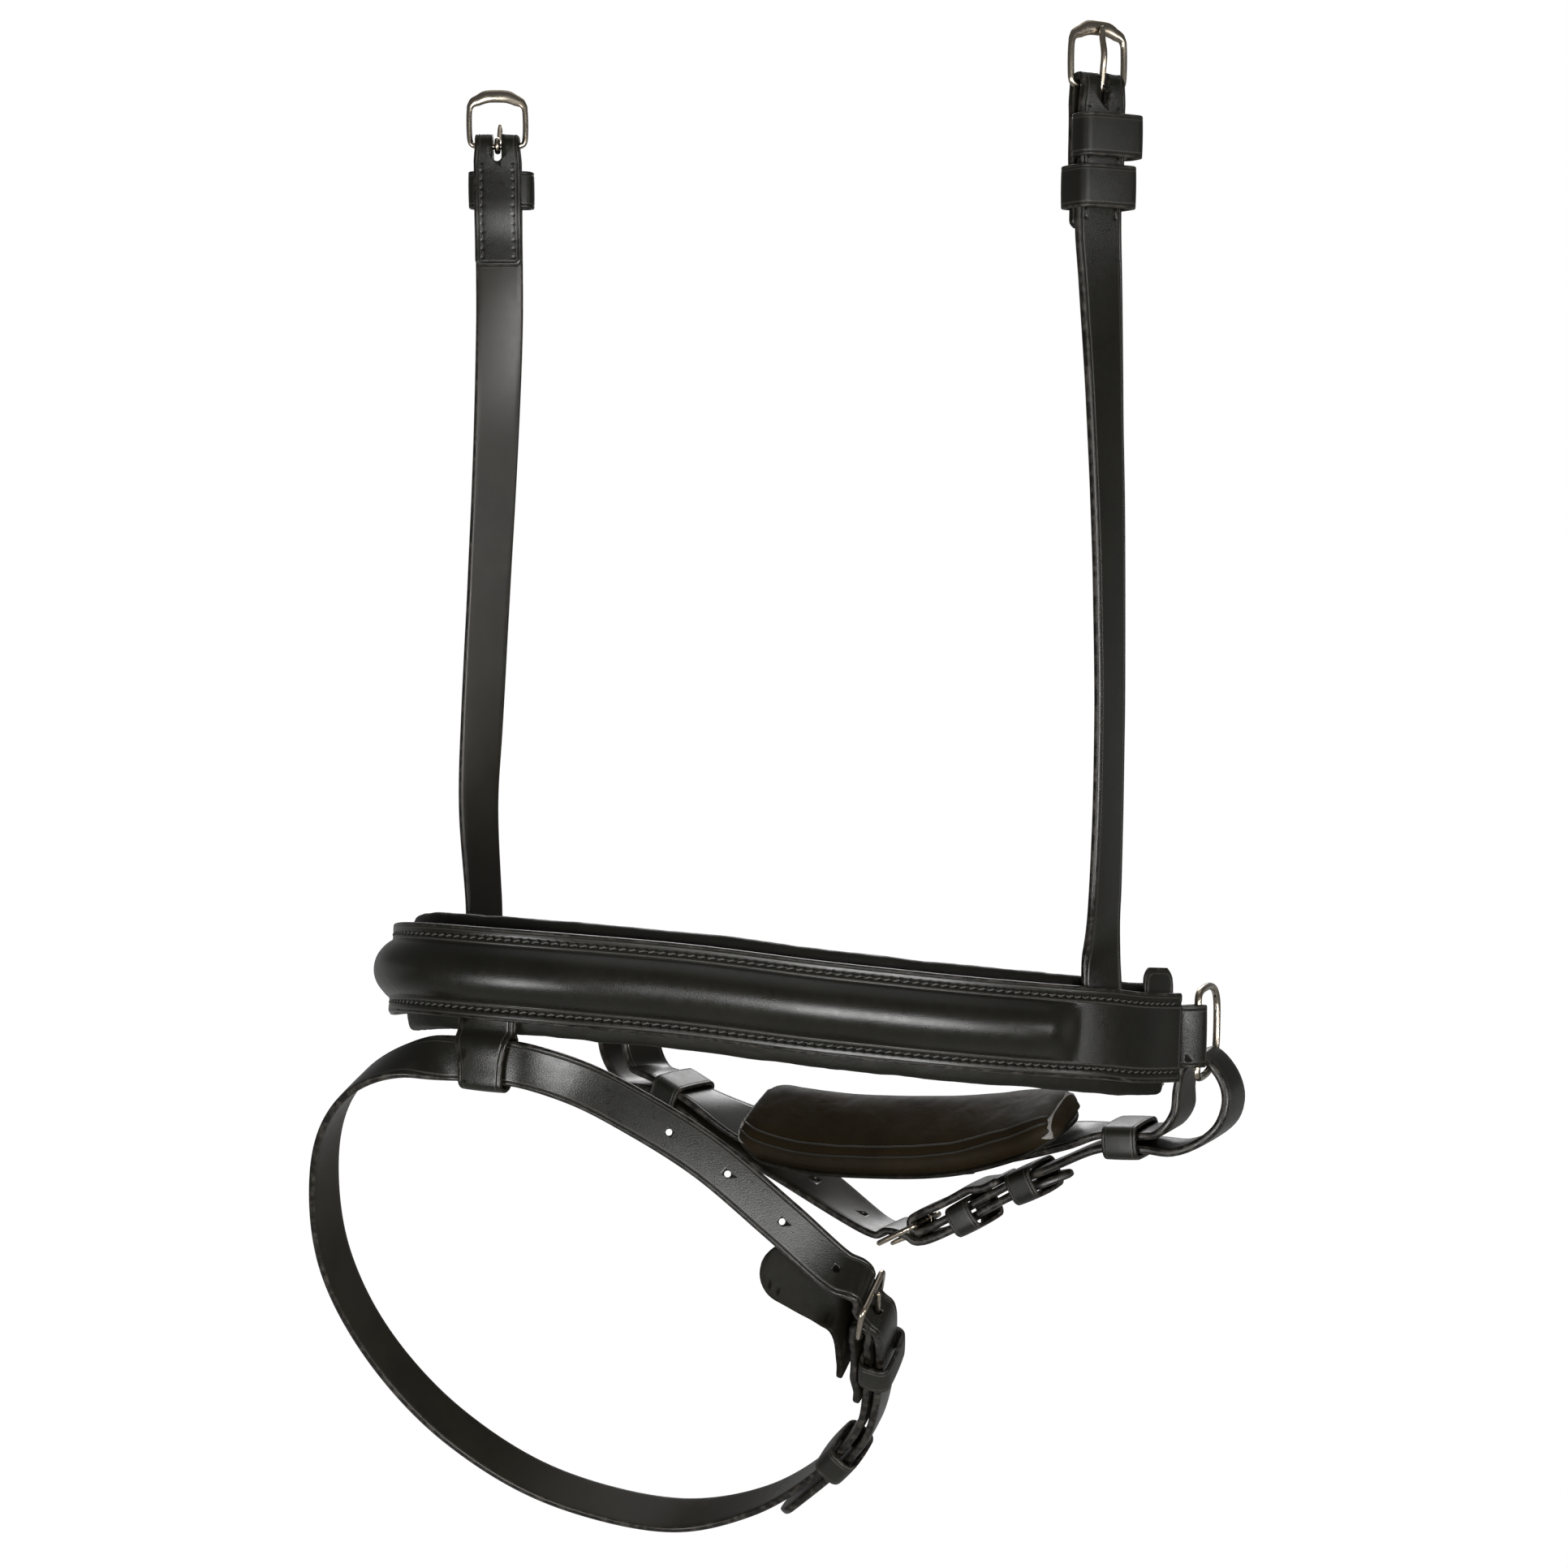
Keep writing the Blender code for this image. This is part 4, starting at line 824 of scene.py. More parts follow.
@cache
def chin_parts():
    """Buckle, bed, whole route, keeper places and pad limits of the chin strap."""
    t = mm(sizes().chin_thick)
    near_hold = ring_end("near").hold
    far_hold = ring_end("far").hold
    buckle = Buckle((-84.1, 50.8, -341), (-0.855, -0.075, -0.51), (0.51, 0.03, -0.86),
                    mm(sizes().chin_width) + 0.7, 15.0)
    front = [(buckle.spot(0, -6.0, BAR_RADIUS + GAP + t / 2), buckle.face)]
    wide = t + GAP * 3 + mm(sizes().keeper_wall)
    near_pair = pair_of(vec(-14.8, 56.9, -305.2), vec(0.97, 0.11, 0.1), vec(0.1, 0.0, -1.0), 4.2)
    far_pair = pair_of(vec(-180.7, 48, -311.9), vec(0.94, -0.08, -0.31), vec(-0.31, 0.0, -0.95), 4.4)
    lower_near = rows_of((-66, 52.4, -332.6, 0.54, 0.05, -0.84), (-54, 53.1, -324.8, 0.52, 0.05, -0.85),
                         (-40, 54, -317.3, 0.46, 0.05, -0.88)) + near_pair.low
    outward = near_hold - near_pair.centre
    side = vec(-outward.y, outward.x, 0.0).normalized()
    near_turn = by_side([(point, side) for point in ring_loop(near_hold, outward, 0.0)])
    middle = rows_of((-34, 54.7, -307, -0.15, -0.3, 0.94), (-66, 52.8, -315, -0.16, -0.6, 0.79),
                     (-97.8, 51.6, -319.6, -0.1, -0.66, 0.74), (-128.3, 50.4, -321.5, -0.02, -0.66, 0.75),
                     (-151, 49.3, -320, 0.12, -0.5, 0.86))
    outward = far_hold - far_pair.centre
    side = vec(outward.y, -outward.x, 0.0).normalized()
    far_turn = by_side([(point, side) for point in reversed(ring_loop(far_hold, outward, 1.0))])
    lower_far = rows_of((-156.4, 48.5, -323.5, -0.35, 0.42, -0.84), (-127.8, 48.2, -334, -0.33, 0.35, -0.88))
    lower_far.append((buckle.spot(0, 17.6, -4.6), vec(0.1, 0, -1)))
    whole = lower_near + near_turn + near_pair.high + middle + far_pair.high + far_turn + far_pair.low + lower_far
    bed = Route(front + lower_near)
    inner = turned_end(buckle, bed, t, ((28.0, -(t + GAP)), (22.5, -(t + GAP)), (16.5, -wide), (10.5, -wide),
                                        (4.5, -wide)))
    billet = over_bar(buckle, t)
    billet += laid_on(bed, ((6.0, t + 1.3), (14.0, t + 0.9), (26.0, t + 0.8), (38.0, t + 0.9), (49.0, t + 1.6)))
    route = Route(inner + front + whole + billet)
    row_dist = route.row_dist
    rows = len(inner + front)
    near_top = row_dist[rows + len(lower_near) + 5]
    far_top = row_dist[rows + len(whole) - len(lower_far) - 2 - 5]
    fold = crew_taper(row_dist[len(inner) - MIDDLE_OF_FOLD])

    def taper(s):
        away = min(abs(s - near_top), abs(s - far_top))
        return fold(s) * (0.8 + 0.2 * ease((away - 10.0) / 16.0))

    first = rows + len(lower_near) + len(near_turn) + len(near_pair.high)
    return SimpleNamespace(buckle=buckle, bed=bed, route=route, near_pair=near_pair, far_pair=far_pair,
                           taper=taper, at_bar=row_dist[rows + len(whole)], pad_start=row_dist[first] - 3.0,
                           pad_end=row_dist[first + len(middle) - 1] + 1.0)


# finishes


def node(tree, kind, inputs=None, **settings):
    made = tree.nodes.new(kind)
    for key, value in settings.items():
        setattr(made, key, value)
    for key, value in (inputs or {}).items():
        if isinstance(value, bpy.types.NodeSocket):
            tree.links.new(value, made.inputs[key])
        else:
            made.inputs[key].default_value = value
    return made


def calc(tree, operation, a, b=0.0, c=0.0):
    return node(tree, "ShaderNodeMath", {0: a, 1: b, 2: c}, operation=operation).outputs[0]


def ramp(tree, value, low, high, first=0.0, last=1.0, kind="LINEAR"):
    inputs = {"Value": value, "From Min": low, "From Max": high, "To Min": first, "To Max": last}
    return node(tree, "ShaderNodeMapRange", inputs, interpolation_type=kind).outputs[0]


def mixed(tree, share, a, b, kind="MIX"):
    return node(tree, "ShaderNodeMix", {0: share, 6: a, 7: b}, data_type="RGBA", blend_type=kind).outputs[2]


def cloud(tree, place, scale, detail, distortion=0.0):
    inputs = {"Vector": place, "Scale": scale, "Detail": detail, "Distortion": distortion}
    return node(tree, "ShaderNodeTexNoise", inputs).outputs["Fac"]


def grey(shade):
    return (shade, shade, shade, 1.0)


def rgba(colour):
    return (colour[0], colour[1], colour[2], 1.0)


def new_group(name, inputs, outputs):
    """Empty node group with sockets named as Label or Label:Kind; returns the tree, what it gets and its end."""
    tree = bpy.data.node_groups.new(name, "ShaderNodeTree")
    for side, words in (("INPUT", inputs), ("OUTPUT", outputs)):
        for word in words.split(", "):
            label, mark, kind = word.partition(":")
            tree.interface.new_socket(label, in_out=side, socket_type="NodeSocket" + (kind or "Float"))
    return tree, tree.nodes.new("NodeGroupInput").outputs, tree.nodes.new("NodeGroupOutput").inputs


@cache
def groove_group():
    """A soft line at one distance: 1 on it and 0 away from it."""
    tree, give, end = new_group("Groove", "Distance, Place, Width", "Mask")
    away = calc(tree, "DIVIDE", calc(tree, "SUBTRACT", give["Distance"], give["Place"]), give["Width"])
    fall = calc(tree, "MULTIPLY", calc(tree, "MULTIPLY", away, away), -1.0)
    tree.links.new(calc(tree, "EXPONENT", fall), end["Mask"])
    return tree


def groove(tree, distance, place, width):
    inputs = {"Distance": distance, "Place": place, "Width": width}
    return node(tree, "ShaderNodeGroup", inputs, node_tree=groove_group()).outputs["Mask"]


@cache
def stitch_group():
    """Dents that sewing leaves: a row along Seam, one dip at each end of a stitch, and a mask for the shade
    painted into the stitch holes.
    """
    tree, give, end = new_group("Stitch dents", "Along, Seam, Pitch", "Depth, Hole")
    angle = calc(tree, "MULTIPLY", calc(tree, "DIVIDE", give["Along"], give["Pitch"]), 2.0 * math.pi)
    dip = calc(tree, "POWER", calc(tree, "MULTIPLY_ADD", calc(tree, "COSINE", angle), 0.5, 0.5), 3.0)
    line = groove(tree, give["Seam"], 0.0, 0.6)
    depth = calc(tree, "MULTIPLY_ADD", dip, 0.7, 0.3)
    tree.links.new(calc(tree, "MULTIPLY", depth, line), end["Depth"])
    tree.links.new(calc(tree, "MULTIPLY", dip, line), end["Hole"])
    return tree


@cache
def leather_group():
    """Dyed leather: grain and flesh side, mottling, creased line with a painted highlight beside it, burnished
    and rubbed edges.
    """
    told = ("Vector:Vector, Rim, Grain side, Grain colour:Color, Flesh colour:Color, Edge colour:Color, "
            "Grain size, Shine, Crease at, Wear")
    tree, give, end = new_group("Leather", told, "Colour:Color, Roughness, Height")
    place = give["Vector"]
    rim = give["Rim"]
    streak = cloud(tree, place, 420.0, 5.0)
    cells = node(tree, "ShaderNodeTexVoronoi", {"Vector": place, "Scale": give["Grain size"]},
                 feature="DISTANCE_TO_EDGE")
    pores = ramp(tree, cells.outputs["Distance"], 0.0, 0.22, kind="SMOOTHSTEP")
    grain = ramp(tree, give["Grain side"], 0.55, 0.8)
    back = ramp(tree, give["Grain side"], 0.2, 0.42, 1.0, 0.0)
    colour = mixed(tree, back, give["Grain colour"], give["Flesh colour"])
    mottle = ramp(tree, cloud(tree, place, 55.0, 4.0), 0.3, 0.7, 0.72, 1.3)
    colour = mixed(tree, 1.0, colour, mottle, "MULTIPLY")
    cut_edge = calc(tree, "SUBTRACT", 1.0, calc(tree, "ADD", grain, back))
    colour = mixed(tree, cut_edge, colour, give["Edge colour"])
    rubbed = calc(tree, "MULTIPLY", ramp(tree, rim, 0.25, 1.1, 1.0, 0.0), ramp(tree, streak, 0.45, 0.7))
    rubbed = calc(tree, "MULTIPLY", rubbed, give["Wear"])
    colour = mixed(tree, rubbed, colour, (0.05, 0.043, 0.034, 1.0))
    rough = calc(tree, "MULTIPLY_ADD", streak, 0.16, give["Shine"])
    rough = calc(tree, "MULTIPLY_ADD", back, 0.06, rough)
    tree.links.new(calc(tree, "MULTIPLY_ADD", rubbed, 0.25, rough), end["Roughness"])
    notch = calc(tree, "MULTIPLY", groove(tree, rim, give["Crease at"], 0.22), grain)
    # painted highlight: a light line is painted along the ridge just inside the creased line
    crease_ridge_highlight = groove(tree, rim, calc(tree, "ADD", give["Crease at"], 0.42), 0.17)
    crease_ridge_highlight = calc(tree, "MULTIPLY", calc(tree, "MULTIPLY", crease_ridge_highlight, grain), 0.5)
    tree.links.new(mixed(tree, crease_ridge_highlight, colour, (0.045, 0.043, 0.036, 1.0)), end["Colour"])
    height = calc(tree, "MULTIPLY", calc(tree, "MULTIPLY", pores, 0.009), grain)
    height = calc(tree, "MULTIPLY_ADD", notch, -0.16, height)
    height = calc(tree, "MULTIPLY_ADD", streak, 0.02, height)
    fuzz = calc(tree, "MULTIPLY", cloud(tree, place, 2600.0, 4.0), calc(tree, "SUBTRACT", 1.0, grain))
    tree.links.new(calc(tree, "MULTIPLY_ADD", fuzz, 0.012, height), end["Height"])
    return tree


def new_material(name):
    """Node material; returns it, its tree, its surface and Object coordinates."""
    material = bpy.data.materials.new(name)
    material.use_nodes = True
    tree = material.node_tree
    return material, tree, tree.nodes["Principled BSDF"], node(tree, "ShaderNodeTexCoord").outputs["Object"]


def finish_with(tree, surface, colour, rough, height, strength=1.0, distance=MM):
    """Feeds the colour, the roughness and the bump of a surface."""
    tree.links.new(colour, surface.inputs["Base Color"])
    if isinstance(rough, float):
        surface.inputs["Roughness"].default_value = rough
    else:
        tree.links.new(rough, surface.inputs["Roughness"])
    bump = node(tree, "ShaderNodeBump", {"Height": height, "Strength": strength, "Distance": distance})
    tree.links.new(bump.outputs["Normal"], surface.inputs["Normal"])


def strap_numbers(tree):
    """Along, across, rim and grain side from the two maps of a lofted piece."""
    give = []
    for name in ("Strap", "Finish"):
        both = node(tree, "ShaderNodeSeparateXYZ", {0: node(tree, "ShaderNodeUVMap", uv_map=name).outputs[0]})
        give += [both.outputs["X"], both.outputs["Y"]]
    return give


def leather(name, grain="grain", shine=0.22, grain_size=1500.0, crease_at=1.3, wear=0.6, seam=None, sewn=None,
            wrinkle=0.0, specular=0.32, dent=0.4):
    """Leather finish; seam is the distance across of a row of stitches on both sides, in millimetres.

    sewn limits the row to distances along the piece: a middle, and how far off it sewing starts and ends.
    Without it the row runs the whole length, beside the raised foot of a roll, along which a light line is
    painted as the ridge's highlight.
    """
    material, tree, surface, place = new_material(name)
    along, across, rim, side = strap_numbers(tree)
    shades = colours()
    hide = node(tree, "ShaderNodeGroup", {
        "Vector": place, "Rim": rim, "Grain side": side, "Grain colour": rgba(getattr(shades, grain)),
        "Flesh colour": rgba(shades.flesh), "Edge colour": rgba(shades.edge), "Grain size": grain_size,
        "Shine": shine, "Crease at": crease_at, "Wear": wear}, node_tree=leather_group()).outputs
    height = hide["Height"]
    colour = hide["Colour"]
    if seam is not None:
        off = calc(tree, "ABSOLUTE", across)
        dents = node(tree, "ShaderNodeGroup", {"Along": along, "Seam": calc(tree, "SUBTRACT", off, seam),
                                               "Pitch": mm(sizes().stitch_pitch)}, node_tree=stitch_group())
        depth, hole = dents.outputs["Depth"], dents.outputs["Hole"]
        if sewn:
            away = calc(tree, "ABSOLUTE", calc(tree, "SUBTRACT", along, sewn[0]))
            here = calc(tree, "MULTIPLY", calc(tree, "GREATER_THAN", away, sewn[1]),
                        calc(tree, "LESS_THAN", away, sewn[2]))
            depth = calc(tree, "MULTIPLY", depth, here)
            hole = calc(tree, "MULTIPLY", hole, here)
        else:
            # painted highlight: a light line is painted along the small ridge at the roll's foot
            foot = groove(tree, off, seam - 1.15, 0.2)
            height = calc(tree, "MULTIPLY_ADD", foot, 0.12, height)
            colour = mixed(tree, calc(tree, "MULTIPLY", foot, 0.6), colour, (0.05, 0.048, 0.042, 1.0))
        height = calc(tree, "MULTIPLY_ADD", depth, -dent, height)
        # painted shade: the stitch holes are darkened to near black
        colour = mixed(tree, calc(tree, "MULTIPLY", hole, 0.9), colour, grey(0.001))
    if wrinkle:
        height = calc(tree, "MULTIPLY_ADD", cloud(tree, place, 130.0, 5.0, 0.6), wrinkle, height)
    finish_with(tree, surface, colour, hide["Roughness"], height)
    surface.inputs["Specular IOR Level"].default_value = specular
    return material


def cheek_leather(name):
    fold = cheek("near")[1].row_dist[CHEEK_FOLD_ROW]
    return leather(name, seam=CHEEK_SEAM, sewn=(fold, 9.5, fold - 2.0), dent=0.1)


def thread(name):
    """Waxed thread: twisted strands along each stitch."""
    material, tree, surface, place = new_material(name)
    wax = cloud(tree, place, 700.0, 3.0)
    colour = mixed(tree, 1.0, rgba(colours().thread), ramp(tree, wax, 0.0, 1.0, 0.5, 1.5), "MULTIPLY")
    finish_with(tree, surface, colour, ramp(tree, wax, 0.0, 1.0, 0.4, 0.7), cloud(tree, place, 5200.0, 2.0), 0.6,
                0.0001)
    surface.inputs["Specular IOR Level"].default_value = 0.35
    return material


def steel(name):
    """Plated steel: warm tint, fine scratches and dull, rougher spots."""
    material, tree, surface, place = new_material(name)
    spots = cloud(tree, place, 260.0, 5.0)
    scratch = cloud(tree, place, 2400.0, 3.0, 2.0)
    tint = mixed(tree, ramp(tree, spots, 0.42, 0.75), rgba(colours().steel), (0.24, 0.195, 0.145, 1.0))
    rough = calc(tree, "MULTIPLY_ADD", scratch, 0.08, ramp(tree, spots, 0.35, 0.7, 0.16, 0.28))
    finish_with(tree, surface, tint, rough,
                calc(tree, "MULTIPLY_ADD", spots, 0.012, calc(tree, "MULTIPLY", scratch, 0.003)))
    surface.inputs["Metallic"].default_value = 1.0
    return material


def filling(name, low, high, scale, rough):
    """Felt or foam: fibres or open cells in two tones."""
    material, tree, surface, place = new_material(name)
    cells = node(tree, "ShaderNodeTexVoronoi", {"Vector": place, "Scale": scale})
    mask = calc(tree, "MULTIPLY", cells.outputs["Distance"], cloud(tree, place, scale * 0.5, 6.0))
    finish_with(tree, surface, mixed(tree, mask, rgba(low), rgba(high)), rough, mask, 0.8, 0.0004)
    return material


# how each finish is made, what it is told and which slot it fills
FINISHES = {
    "Strap leather": (leather, {}, "strap_leather"),
    "Outer leather": (leather, {"seam": STITCH_ACROSS, "crease_at": 0.9}, "strap_leather"),
    "Cheek strap leather": (cheek_leather, {}, "strap_leather"),
    "Safe leather": (leather, {"shine": 0.45, "crease_at": -5.0, "wear": 0.2, "specular": 0.08}, "strap_leather"),
    "Keeper leather": (leather, {"shine": 0.34, "crease_at": 1.0, "wear": 0.7}, "strap_leather"),
    "Soft lining leather": (leather, {"grain": "lining", "shine": 0.44, "grain_size": 1900.0, "crease_at": -5.0,
                                      "wear": 0.25, "wrinkle": 0.35, "specular": 0.16}, "padded_leather"),
    "Chin pad leather": (leather, {"grain": "pad", "shine": 0.5, "grain_size": 1900.0, "crease_at": -5.0,
                                   "wear": 0.3, "wrinkle": 0.35, "specular": 0.08}, "padded_leather"),
    "Welt leather": (leather, {"grain": "welt", "shine": 0.4, "crease_at": -5.0, "wear": 0.0, "specular": 0.2},
                     "padded_leather"),
    "Waxed thread": (thread, {}, "strap_leather"),
    "Plated steel": (steel, {}, "steel"),
}


@cache
def finish(name):
    make, told, slot = FINISHES[name]
    return make(name, **told)


def dress(piece, body, look, *nodes):
    """Puts a finish on a piece and says which body it rides on and which solids it stands for."""
    piece.data.materials.clear()
    piece.data.materials.append(finish(look))
    if nodes:
        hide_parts(*nodes)
    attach(piece, body)
    return piece


# pieces


def both_ends(start, end, offsets):
    """Distances in from both ends of a stretch."""
    return [start + x for x in offsets] + [end - x for x in offsets]


def dome(x):
    """Quarter circle: steep from 0 and level at 1."""
    return math.sqrt(max(1.0 - (1.0 - min(x, 1.0)) ** 2, 0.0))


class NOSEBAND_OT_outer(bpy.types.Operator):
    """Outer leather with its raised roll, and its two rows of stitches"""
    bl_idname = "noseband.outer"
    bl_label = "Outer leather and stitches"

    def execute(self, context):
        s = sizes()
        band = band_route()
        start, end, near_foot, far_foot = band_marks()
        half = mm(s.band_half)
        roll = mm(s.roll_half)
        proud = mm(s.roll_proud)
        back = 0.1
        steps = [0.0, 0.9, 1.8, 2.7, 3.6, 4.4, 5.2, 5.9, 6.5, 7.0, 7.4, 7.7, 7.95, 8.15, 8.35, 8.7, 9.1, 9.45,
                 9.7, 9.9, 10.1, 10.35, 10.7, 11.2, 11.8, 12.3]

        def front(a, rise):
            bump = max(1.0 - min(abs(a) / roll, 1.0) ** 2.15, 0.0) ** 0.86
            furrow = 0.28 * math.exp(-((abs(a) - STITCH_ACROSS) / 0.55) ** 2)
            return back + BAND_THICK + proud * rise * bump - furrow

        rings = []
        marks = both_ends(near_foot, far_foot, (11.0, 13.0, 15.0, 17.0, 19.0, 21.0, 24.0))
        for d in band.stops(start, end, 2.0, 4.0, marks + both_ends(start, end, (0.3, 0.9))):
            rise = ease(min(d - (near_foot + 11.0), (far_foot - 11.0) - d) / 13.0)
            point, run, face, side = band.at(d)
            ahead = min(d - start, end - d)
            press = 0.5 * (1.0 - ease(ahead / 0.9))
            section = [(a, front(a, rise) - press, half - abs(a), 1.0)
                       for a in [-x for x in reversed(steps)] + steps[1:]]
            flank = []
            for degrees in (60.0, 30.0, 0.0):
                t = math.radians(degrees)
                flank.append((half - 0.7 + math.cos(t) * 0.7, back + BAND_THICK - 0.7 + math.sin(t) * 0.7 - press,
                              0.0, 0.5 + degrees / 180.0))
            flank += [(half, back + 0.5, 0.0, 0.4), (half - 0.5, back, 0.4, 0.0)]
            for f, lift in ((0.78, 0.0), (0.66, 0.45), (0.46, 2.1), (0.24, 3.1), (0.0, proud - 1.6)):
                flank.append((roll * f, back + lift * rise, 4.0, 0.0))
            section += flank + [(-a, b, rim, grain) for a, b, rim, grain in reversed(flank[:-1])]
            ring = []
            for a, b, rim, grain in section:
                spot = point + side * a + face * b
                drift = noise.noise(spot * 0.05) * 0.16 if grain > 0.9 else 0.0
                ring.append((spot + face * drift, d, a, min(rim, ahead), grain))
            rings.append(ring)
        dress(loft("Outer_leather", rings), "noseband", "Outer leather", "noseband_outer")
        for label, sign in (("top", 1.0), ("bottom", -1.0)):
            row = row_of(band, start + 2.6, end - 2.6, back + BAND_THICK - 0.16, sign * STITCH_ACROSS)
            dress(sew("Outer_stitches_" + label, row), "noseband", "Waxed thread")
        return {"FINISHED"}


class NOSEBAND_OT_lining(bpy.types.Operator):
    """Padded lining, drawn in along the sewing, its end tip and the tab at the far strap's foot"""
    bl_idname = "noseband.lining"
    bl_label = "Padded lining"

    def execute(self, context):
        band = band_route()
        start, end, near_foot, far_foot = band_marks()
        thick = mm(sizes().lining_thick)
        face_at = -0.1 - MIDDLE_THICK - 0.15
        centre = (LINING_TOP - LINING_BOTTOM) / 2
        tall = (LINING_TOP + LINING_BOTTOM) / 2
        rings = []
        sides = 40
        for d in band.stops(start, end, 1.8, 4.0, both_ends(start, end, (0.15, 0.5, 1.1, 1.8, 2.8))):
            point, run, face, side = band.at(d)
            close = dome(min(d - start, end - d) / 3.0)
            ring = []
            for j in range(sides):
                t = 2.0 * math.pi * (j + 0.5) / sides
                c = squared(math.cos(t), 0.72)
                q = squared(math.sin(t), 0.62)
                a = centre + tall * c * (0.93 + 0.07 * close)
                pinch = 0.9 * math.exp(-((abs(a) - STITCH_ACROSS) / 1.3) ** 2) if q < 0 else 0.0
                b = face_at - thick / 2 + (thick / 2) * q * (0.3 + 0.7 * close) + pinch
                spot = point + side * a + face * b
                puff = noise.noise(spot * 0.11) * 0.35 + noise.noise(spot * 0.33) * 0.14
                if q > 0.6:
                    puff = min(puff, 0.0)
                ring.append((spot + (side * c + face * q).normalized() * puff, d, a, 3.0, 1.0))
            rings.append(ring)
        piece = dress(loft("Padded_lining", rings), "noseband", "Soft lining leather", "noseband_lining")
        for name, at, low, high, width, deep, thick in (
                ("Lining_end_tip", start + 8.0, 10.5, 20.2, 14.6, -1.6, 1.0),
                ("Far_foot_tab", far_foot + 2.0, 10.5, 19.0, 21.0, -2.83, 0.4)):
            point, run, face, side = band.at(at)
            flap = Route([(point + side * (low + (high - low) * f) + face * (deep - 0.5 * f * f), face)
                          for f in (0.0, 0.35, 0.7, 1.0)])
            piece = strap(name, flap, width, thick,
                          taper=lambda s, flap=flap: 1.0 - 0.2 * ease((s - flap.length + 4.0) / 4.0))
            dress(piece, "noseband", "Strap leather")
        return {"FINISHED"}


class NOSEBAND_OT_ring_ends(bpy.types.Operator):
    """Chapes at both ends of the band and the two steel rings that they hold"""
    bl_idname = "noseband.ring_ends"
    bl_label = "Ring chapes and rings"

    def execute(self, context):
        radius = mm(sizes().ring_wire)
        for name in ("near_ring", "far_ring"):
            end = ring_end(name.split("_")[0])
            title = name.capitalize()
            chape = strap(title + "_chape", end.chape, CHAPE_WIDTH, CHAPE_THICK, wave=0.05)
            dress(chape, "noseband", "Strap leather", name + "_chape")
            path, thick = fair(end.path, [(radius, radius)] * len(end.path), closed=True)
            dress(wire(title, path, thick, end.flat, closed=True), name, "Plated steel", name)
        return {"FINISHED"}


class NOSEBAND_OT_cheek_straps(bpy.types.Operator):
    """Both cheek straps, turned round their buckles and sewn"""
    bl_idname = "noseband.cheek_straps"
    bl_label = "Cheek straps"

    def execute(self, context):
        thick = mm(sizes().cheek_thick)
        for label in ("near", "far"):
            buckle, route = cheek(label)
            title = label.capitalize()
            at_fold = route.row_dist[CHEEK_FOLD_ROW]
            piece = strap(title + "_cheek_strap", route, mm(sizes().cheek_width), thick,
                          taper=crew_taper(at_fold),
                          skive=lambda d, end=route.length: 1.0 - 0.34 * ease((d - (end - 34.0)) / 12.0),
                          cup=lambda d, end=route.length: 0.012 * ease((d - (end - 40.0)) / 18.0))
            cut(piece, slot_tools(label + "_crew", buckle, thick, 5.2))
            dress(piece, "noseband", "Cheek strap leather", label + "_cheek_strap")
            spots = []
            for across in (-CHEEK_SEAM, CHEEK_SEAM):
                spots += row_of(route, 2.2, at_fold - 9.5, thick / 2, across)
                spots += row_of(route, at_fold + 9.5, at_fold * 2 - 2.2, thick / 2, across)
            dress(sew(title + "_cheek_stitches", spots, 1.5, 0.42, 0.26, 10.0), "noseband", "Waxed thread")
        return {"FINISHED"}


def buckle_frame(name, buckle, arch, head, corner):
    """Bar, two sides and an outer bar that may be arched and broader."""
    w = buckle.inner + SIDE_RADIUS
    top = buckle.length - (head - 1.0) * 0.4
    side = (SIDE_RADIUS, SIDE_RADIUS)
    bends = []
    for degrees in (0, 28, 56, 80):
        t = math.radians(degrees)
        broad = SIDE_RADIUS * (1.0 + (head - 1.0) * 0.75 * ease(degrees / 80.0))
        bends.append((w + 0.1 - corner * (1.0 - math.cos(t)), top - corner * (1.0 - math.sin(t)),
                      (broad, SIDE_RADIUS)))
    outline = [(-w + 1.5, 0.0, (BAR_RADIUS, BAR_RADIUS)), (w - 1.5, 0.0, (BAR_RADIUS, BAR_RADIUS)),
               (w - 0.45, 0.45, side), (w, 1.5, side)] + bends
    for f in (-0.4, 0.0, 0.4):
        outline.append((-f * w, top + arch * (1.0 - f * f), (SIDE_RADIUS * head, SIDE_RADIUS)))
    outline += [(-a, b, wide) for a, b, wide in reversed(bends)] + [(-w, 1.5, side), (-w + 0.45, 0.45, side)]
    path, thick = fair([buckle.spot(a, b) for a, b, wide in outline], [wide for a, b, wide in outline],
                       closed=True, step=0.5)
    return wire(name, path, thick, buckle.face, closed=True)


